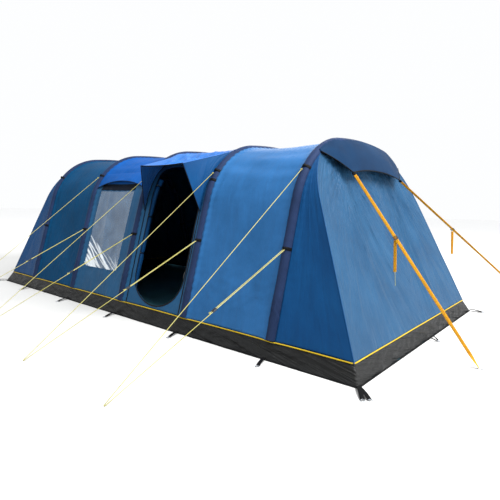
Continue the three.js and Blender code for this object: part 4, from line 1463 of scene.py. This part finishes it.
def make_guys():
    for name in GUY_ROWS:
        points, lower, to_peg, across, runner = guy_route(name)
        upward = [Vector((0, 0, 1))] * len(points)
        rope = sweep("guy_rope_" + name, points, upward, round_section(ROPE / 2, 10))
        finish_piece(rope, "rope", ("guy_" + name,))
        length = sum((b - a).length for a, b in zip(points, points[1:]))
        slider = make_runner(name, lower, to_peg, across, runner)
        knot = make_knot("guy_knot_" + name, points[-1] + to_peg * 0.006, to_peg)
        down = (points[1] - points[0]).normalized()
        top_knot = make_knot("guy_upper_knot_" + name, points[0] + down * 0.012, down)
        tuple(points[0])
        [tuple(p) for p in points]


def make_knot(name, centre, along):
    """A small overhand knot: a rope turn drawn tight round the strand."""
    side = along.orthogonal().normalized()
    other = along.cross(side)
    path = []
    steps = 48
    for k in range(steps):
        angle = TAU * k / steps
        radius = 0.0055 + 0.0022 * math.cos(3 * angle)
        path.append(centre + (side * math.cos(2 * angle) + other * math.sin(2 * angle)) * radius
                    + along * 0.0045 * math.sin(3 * angle))
    knot = sweep(name, path, [(p - centre).normalized() for p in path], round_section(0.0027, 8), closed=True)
    return finish_piece(knot, "rope")


def local_frame(right, up, out, centre):
    """The matrix that lays a piece's X, Y and Z along three directions, at a place."""
    turn = Matrix((right, up, out)).transposed().to_4x4()
    return Matrix.Translation(centre) @ turn


def box_piece(name, size):
    bpy.ops.object.select_all(action="DESELECT")
    bpy.ops.mesh.primitive_cube_add(size=1, location=(0, 0, 0))
    obj = bpy.context.object
    obj.name = name
    obj.scale = size
    place_in_mesh(obj)
    return obj


def bore(obj, x, radius, depth):
    """Drills a round hole along Z."""
    bpy.ops.object.select_all(action="DESELECT")
    bpy.ops.mesh.primitive_cylinder_add(vertices=20, radius=radius, depth=depth, location=(x, 0, 0))
    drill = bpy.context.object
    place_in_mesh(drill)
    apply_modifier(obj, "BOOLEAN", object=drill, operation="DIFFERENCE", solver="EXACT")
    bpy.data.objects.remove(drill)


def make_runner(name, lower, to_peg, across, distance):
    """Line runner: a rounded bar with two rope bores and grip ridges."""
    width, height, length = 0.033, 0.013, 0.045
    body = box_piece("runner", (width, height, length))
    apply_modifier(body, "BEVEL", width=0.004, segments=4)
    for side in (-1, 1):
        bore(body, side * STRAND_GAP / 2, 0.0036, 0.08)
    parts = [body]
    ridge_pitch = 0.0065
    for k in range(-2, 3):
        ridge = box_piece("ridge", (0.024, 0.0022, 0.0025))
        apply_modifier(ridge, "BEVEL", width=0.0009, segments=2)
        ridge.data.transform(Matrix.Translation((0, -height / 2 - 0.0002, k * ridge_pitch)))
        parts.append(ridge)
    piece = join("runner_moulded_" + name, parts)
    right = across.normalized()
    up = to_peg.cross(right)
    piece.data.transform(local_frame(right, up, to_peg, lower + to_peg * (distance + 0.023)))
    smooth(piece, HARD_EDGE)
    return finish_piece(piece, "plastic", ("runner_" + name,), "runner_" + name)


# Each strap's turn on its own axis, in radians
STRAP_TURN = {"near": 1.05, "far": -0.55}
STRAP_FOOT_Y = {"near": -0.606, "far": 3.06}


def strap_section():
    """The webbing's section, centred on its line."""
    return [(a, b - STRAP_THICK / 2) for a, b in flat_section(STRAP_WIDTH, STRAP_THICK)]


def storm_line(side):
    """Where the strap runs: from the hood's peak to its peg."""
    sign = -1 if side == "near" else 1
    strap_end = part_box("storm_strap_" + side)[1][0]
    hood_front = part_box("rear_hood")[1][0]
    top = Vector((hood_front + 0.008, sign * 0.623, 1.68))
    foot = Vector((strap_end - 0.002, STRAP_FOOT_Y[side], 0.008))
    return top, foot


def strap_frame(side):
    """The strap's direction, and its flat's side and face: the wind has turned each strap on its own axis."""
    top, foot = storm_line(side)
    along = (foot - top).normalized()
    right = along.cross(Vector((0, 0, 1))).normalized()
    up = right.cross(along)
    turn = STRAP_TURN[side]
    face = up * math.cos(turn) + right * math.sin(turn)
    return along, along.cross(face), face


def make_storm_straps():
    """Each strap with its buckle, loose tail, hood tab and peg ring; it lies flat again at its foot."""
    count, untwist_from, untwist_steps = 90, 84, 5
    for side in ("near", "far"):
        top, foot = storm_line(side)
        along, right, up = strap_frame(side)
        path = straight(top, foot, count)
        flat = along.cross(Vector((0, 0, 1))).normalized().cross(along)
        normals = []
        for k in range(count + 1):
            share = min(max((k - untwist_from) / untwist_steps, 0), 1)
            normals.append(up.lerp(flat, share).normalized())
        strap = sweep(f"storm_webbing_{side}", path, normals, strap_section())
        finish_piece(strap, "webbing", ("storm_strap_" + side,))
        buckle = make_buckle(side, along, right, up)
        make_tail(side)
        tab = make_hood_tab(side, top, along, up)
        hook = make_peg_loop(side, foot, along, right)
        tuple(top)
        [tuple(p) for p in path]


def make_hood_tab(side, top, along, up):
    """The strap's folded end, box-stitched under the hood's peak."""
    tab = sweep(f"hood_tab_{side}", straight(top - along * 0.018, top + along * 0.016, 10), [up] * 11,
                [(a, b - 0.0025) for a, b in flat_section(0.034, 0.005)])
    return finish_piece(tab, "black_web")


def make_peg_loop(side, foot, along, right):
    """Steel ring at the strap's foot, for its peg."""
    forward = Vector((along.x, along.y, 0)).normalized()
    centre = foot + forward * 0.012
    centre.z = 0.007
    path = []
    steps = 36
    for k in range(steps):
        angle = TAU * k / steps
        path.append(centre + forward * 0.02 * math.sin(angle) + right * 0.019 * math.cos(angle))
    ring = sweep(f"strap_peg_ring_{side}", path, [Vector((0, 0, 1))] * steps, round_section(0.0025, 10),
                 closed=True)
    return finish_piece(ring, "steel")


def make_buckle(side, along, right, up):
    """Ladderlock: side rails, two cross bars that the webbing threads, and a finger lip."""
    parts = []
    for sign in (-1, 1):
        rail = box_piece("rail", (0.0055, 0.010, 0.034))
        apply_modifier(rail, "BEVEL", width=0.002, segments=3)
        rail.data.transform(Matrix.Translation((sign * 0.0195, 0, 0)))
        parts.append(rail)
    for place, out, thick in ((-0.0145, 0.0040, 0.0050), (0.0, 0.0044, 0.0036), (0.0145, -0.0042, 0.0042)):
        bar = box_piece("bar", (0.042, thick * 0.7, thick))
        apply_modifier(bar, "BEVEL", width=0.0012, segments=3)
        bar.data.transform(Matrix.Translation((0, out, place)))
        parts.append(bar)
    lip = box_piece("lip", (0.036, 0.0035, 0.009))
    apply_modifier(lip, "BEVEL", width=0.0015, segments=3)
    lip.data.transform(Matrix.Translation((0, 0.0062, 0.0150)) @ Matrix.Rotation(math.radians(-28), 4, "X"))
    parts.append(lip)
    buckle = join("ladderlock_" + side, parts)
    buckle.data.transform(local_frame(right, up, along, node_middle("strap_buckle_" + side)))
    smooth(buckle, HARD_EDGE)
    body = "strap_buckle_" + side
    return finish_piece(buckle, "plastic", (body,), body)


def make_tail(side):
    """The loose end of the webbing, hanging from the buckle, with a thin pull cord."""
    low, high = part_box("strap_tail_" + side)
    middle = node_middle("strap_tail_" + side)
    top = Vector((middle.x, middle.y, high[2]))
    bottom = Vector((middle.x, middle.y, low[2]))
    face = strap_frame(side)[2]
    out = Vector((face.x, face.y, 0)).normalized()
    count, drift = 30, 0.014
    path = []
    for k in range(count + 1):
        part = k / count
        path.append(top.lerp(bottom, part) + Vector((drift * part, 0, 0)))
    tail = sweep(f"strap_tail_webbing_{side}", path, [out] * len(path), strap_section())
    body = "strap_buckle_" + side
    finish_piece(tail, "webbing", ("strap_tail_" + side,), body)
    pull_steps, pull_length, pull_drift, overlap = 20, 0.14, 0.012, 0.01
    pull_path = []
    for k in range(pull_steps + 1):
        part = k / pull_steps
        pull_path.append(path[-1] + Vector((pull_drift * part, 0, overlap - pull_length * part)))
    pull = sweep(f"strap_tail_pull_{side}", pull_path, [out] * len(pull_path), round_section(0.0022, 8))
    finish_piece(pull, "rope", (), body)
    length = sum((b - a).length for a, b in zip(path, path[1:]))
    [tuple(p) for p in path]


# ---------------------------------------------------------------- stage


CAMERA_PLACE = Vector((4.476, -4.604, 1.328))
CAMERA_YAW, CAMERA_PITCH, CAMERA_ROLL = math.radians(-39.41), math.radians(5.75), math.radians(1.415)
CAMERA_LENS = 30.94
# Name, place, aim, size in metres and power in watts
LIGHTS = (("key_light", (7.6, -0.9, 10.4), (0.5, -0.3, 0.8), 7.0, 3400),
          ("back_light", (-3.0, 8.0, 8.0), (0.0, 0.0, 1.0), 6.0, 300),
          ("rear_light", (8.5, 1.5, 2.0), (3.0, 0.0, 0.4), 3.0, 260))


def make_stage():
    """The camera, the pale floor, the sky and the lights."""
    make_camera()
    make_studio_floor()
    make_lights()


def make_camera():
    camera_data = bpy.data.cameras.new("view")
    camera = bpy.data.objects.new("view", camera_data)
    bpy.context.scene.collection.objects.link(camera)
    yaw, pitch, roll = CAMERA_YAW, CAMERA_PITCH, CAMERA_ROLL
    forward = Vector((math.cos(pitch) * math.sin(yaw), math.cos(pitch) * math.cos(yaw), -math.sin(pitch)))
    right = Vector((math.cos(yaw), -math.sin(yaw), 0))
    up = right.cross(forward)
    turned_right = right * math.cos(roll) + up * math.sin(roll)
    turned_up = up * math.cos(roll) - right * math.sin(roll)
    camera.matrix_world = local_frame(turned_right, turned_up, -forward, CAMERA_PLACE)
    camera_data.lens = CAMERA_LENS
    camera_data.sensor_width = 36
    camera_data.clip_end = 200
    bpy.context.scene.camera = camera


def make_studio_floor():
    """A plain pale floor that grows lighter away from the tent."""
    bpy.ops.object.select_all(action="DESELECT")
    bpy.ops.mesh.primitive_plane_add(size=160, location=(0, 0, -0.001))
    ground = bpy.context.object
    ground.name = "studio_floor"
    place_in_mesh(ground)
    made, tree = new_material("pale_studio_floor")
    place = add_node(tree, "TexCoord").outputs["Object"]
    reach = add_node(tree, "VectorMath", {"operation": "LENGTH"}, links={0: place})
    far = add_node(tree, "MapRange", values={"From Min": 3.0, "From Max": 14.0},
                   links={"Value": reach.outputs["Value"]})
    # Painted light: the floor's far tone is lighter where the key light falls off
    colour = two_tones(tree, far.outputs["Result"], "#bcbcbb", "#fbfbfb")
    close_material(tree, {"Roughness": 0.9, "Specular IOR Level": 0.1}, {"Base Color": colour})
    ground.data.materials.append(made)


def make_lights():
    """A soft white sky, a high key light and two weaker ones behind."""
    bpy.context.scene.view_settings.view_transform = "Standard"
    world = bpy.data.worlds.new("soft_sky")
    bpy.context.scene.world = world
    world.use_nodes = True
    background = world.node_tree.nodes["Background"]
    background.inputs["Color"].default_value = (0.985, 0.993, 1.0, 1)
    background.inputs["Strength"].default_value = 1.0
    for name, place, aim, size, power in LIGHTS:
        lamp_data = bpy.data.lights.new(name, "AREA")
        lamp_data.size = size
        lamp_data.energy = power
        lamp = bpy.data.objects.new(name, lamp_data)
        bpy.context.scene.collection.objects.link(lamp)
        lamp.location = place
        lamp.rotation_euler = (Vector(aim) - Vector(place)).to_track_quat("-Z", "Y").to_euler()


# ---------------------------------------------------------------- add-on


class TentSizes(bpy.types.PropertyGroup):
    """How slack the cloth hangs."""

    wall_sag: FloatProperty(name="Wall sag", description="How far a side wall bows in between two beams",
                            default=0.012, min=0, max=0.05, unit="LENGTH")
    roof_sag: FloatProperty(name="Roof sag", description="How far the roof dips between two beams",
                            default=0.022, min=0, max=0.08, unit="LENGTH")
    pucker: FloatProperty(name="Seam pucker", description="Height of the gathers along the sleeves' seams",
                          default=0.003, min=0, max=0.01, unit="LENGTH")


def colour_property(name, description, colour):
    return FloatVectorProperty(name=name, description=description, subtype="COLOR", size=3, min=0, max=1,
                               default=[int(colour[i:i + 2], 16) / 255 for i in (1, 3, 5)])


class TentColours(bpy.types.PropertyGroup):
    """Cloth and webbing colours, as sRGB values."""

    fly: colour_property("Fly", "Polyester of the walls and ends", "#1b4974")
    # The navy panels' darker tone is painted shade on the corner triangles
    navy: colour_property("Navy panels", "Darker polyester of the panels at the corners", "#05315a")
    roof: colour_property("Roof", "Brighter polyester over the door and window", "#0d3e79")
    sleeve: colour_property("Sleeves", "Oxford cloth over the air beams", "#162137")
    mud: colour_property("Mud wall", "Coated band along the ground", "#080909")
    piping: colour_property("Piping", "Cord in the mud wall's seam", "#a08414")
    webbing: colour_property("Storm straps", "Webbing from the rear hood", "#9a6a0c")
    rope: colour_property("Guy ropes", "Braided rope", "#8c8538")


def hex_of(values):
    return "#" + "".join(f"{round(v * 255):02x}" for v in values[:3])


class TENT_OT_materials(bpy.types.Operator):
    """Make the cloths, plastics and metals"""

    bl_idname = "tent.materials"
    bl_label = "Materials"

    def execute(self, context):
        colours = context.scene.tent_colours
        names = TentColours.__annotations__
        make_materials({name: hex_of(getattr(colours, name)) for name in names})
        return {"FINISHED"}


def piece_operator(key, label, words, make, sized=False):
    """An operator that makes one group of pieces; a sized one is given how slack the cloth hangs."""
    def execute(self, context):
        if sized:
            make(context.scene.tent_sizes)
        else:
            make()
        return {"FINISHED"}
    return type("TENT_OT_" + key, (bpy.types.Operator,), {
        "__doc__": words, "bl_idname": "tent." + key, "bl_label": label, "execute": execute})


OPERATORS = [TENT_OT_materials] + [piece_operator(*row) for row in (
    ("stage", "Stage", "Set up the camera, floor and lights", make_stage),
    ("guys", "Guy ropes", "Lay the guy ropes with their runners and knots", make_guys),
    ("storm_straps", "Storm straps", "Lay the storm straps with buckles and tails", make_storm_straps),
    ("ground", "Ground pieces", "Sew the mud wall, piping, floor and pegging straps", make_ground),
    ("fly", "Fly", "Hang the fly cloth of the four bays", make_fly, True),
    ("ends", "Ends", "Hang the sloped end panels and vents", make_ends, True),
    ("hoods", "Hoods", "Fit the hoods over the end vents", make_hoods),
    ("eave", "Window eave", "Fit the scalloped eave", make_eave),
    ("window", "Window", "Fit the clear window", make_window, True),
    ("canopy", "Canopy", "Fit the canopy and its wings", make_canopy),
    ("door", "Door", "Fit the door's zips, roll and slider", make_door, True),
    ("beams", "Beams", "Make the sleeves, bladders, valves and sleeve straps", make_beams),
    ("inner", "Inner tent", "Hang the inner tent", make_inner_tent),
)]


class TENT_PT_panel(bpy.types.Panel):
    """Buttons for the tent's pieces"""

    bl_idname = "TENT_PT_panel"
    bl_label = "Tunnel tent"
    bl_space_type = "VIEW_3D"
    bl_region_type = "UI"
    bl_category = "Tent"

    def draw(self, context):
        for group in (context.scene.tent_sizes, context.scene.tent_colours):
            for name in group.bl_rna.properties.keys():
                if name not in ("rna_type", "name"):
                    self.layout.prop(group, name)
        for operator in OPERATORS:
            self.layout.operator(operator.bl_idname)


CLASSES = [TentSizes, TentColours] + OPERATORS + [TENT_PT_panel]


def register():
    for item in CLASSES:
        bpy.utils.register_class(item)
    bpy.types.Scene.tent_sizes = PointerProperty(type=TentSizes)
    bpy.types.Scene.tent_colours = PointerProperty(type=TentColours)


def unregister():
    del bpy.types.Scene.tent_colours
    del bpy.types.Scene.tent_sizes
    for item in reversed(CLASSES):
        bpy.utils.unregister_class(item)


def main():
    register()
    for operator in OPERATORS:
        getattr(bpy.ops.tent, operator.bl_idname.split(".")[1])()


if __name__ == "__main__":
    main()
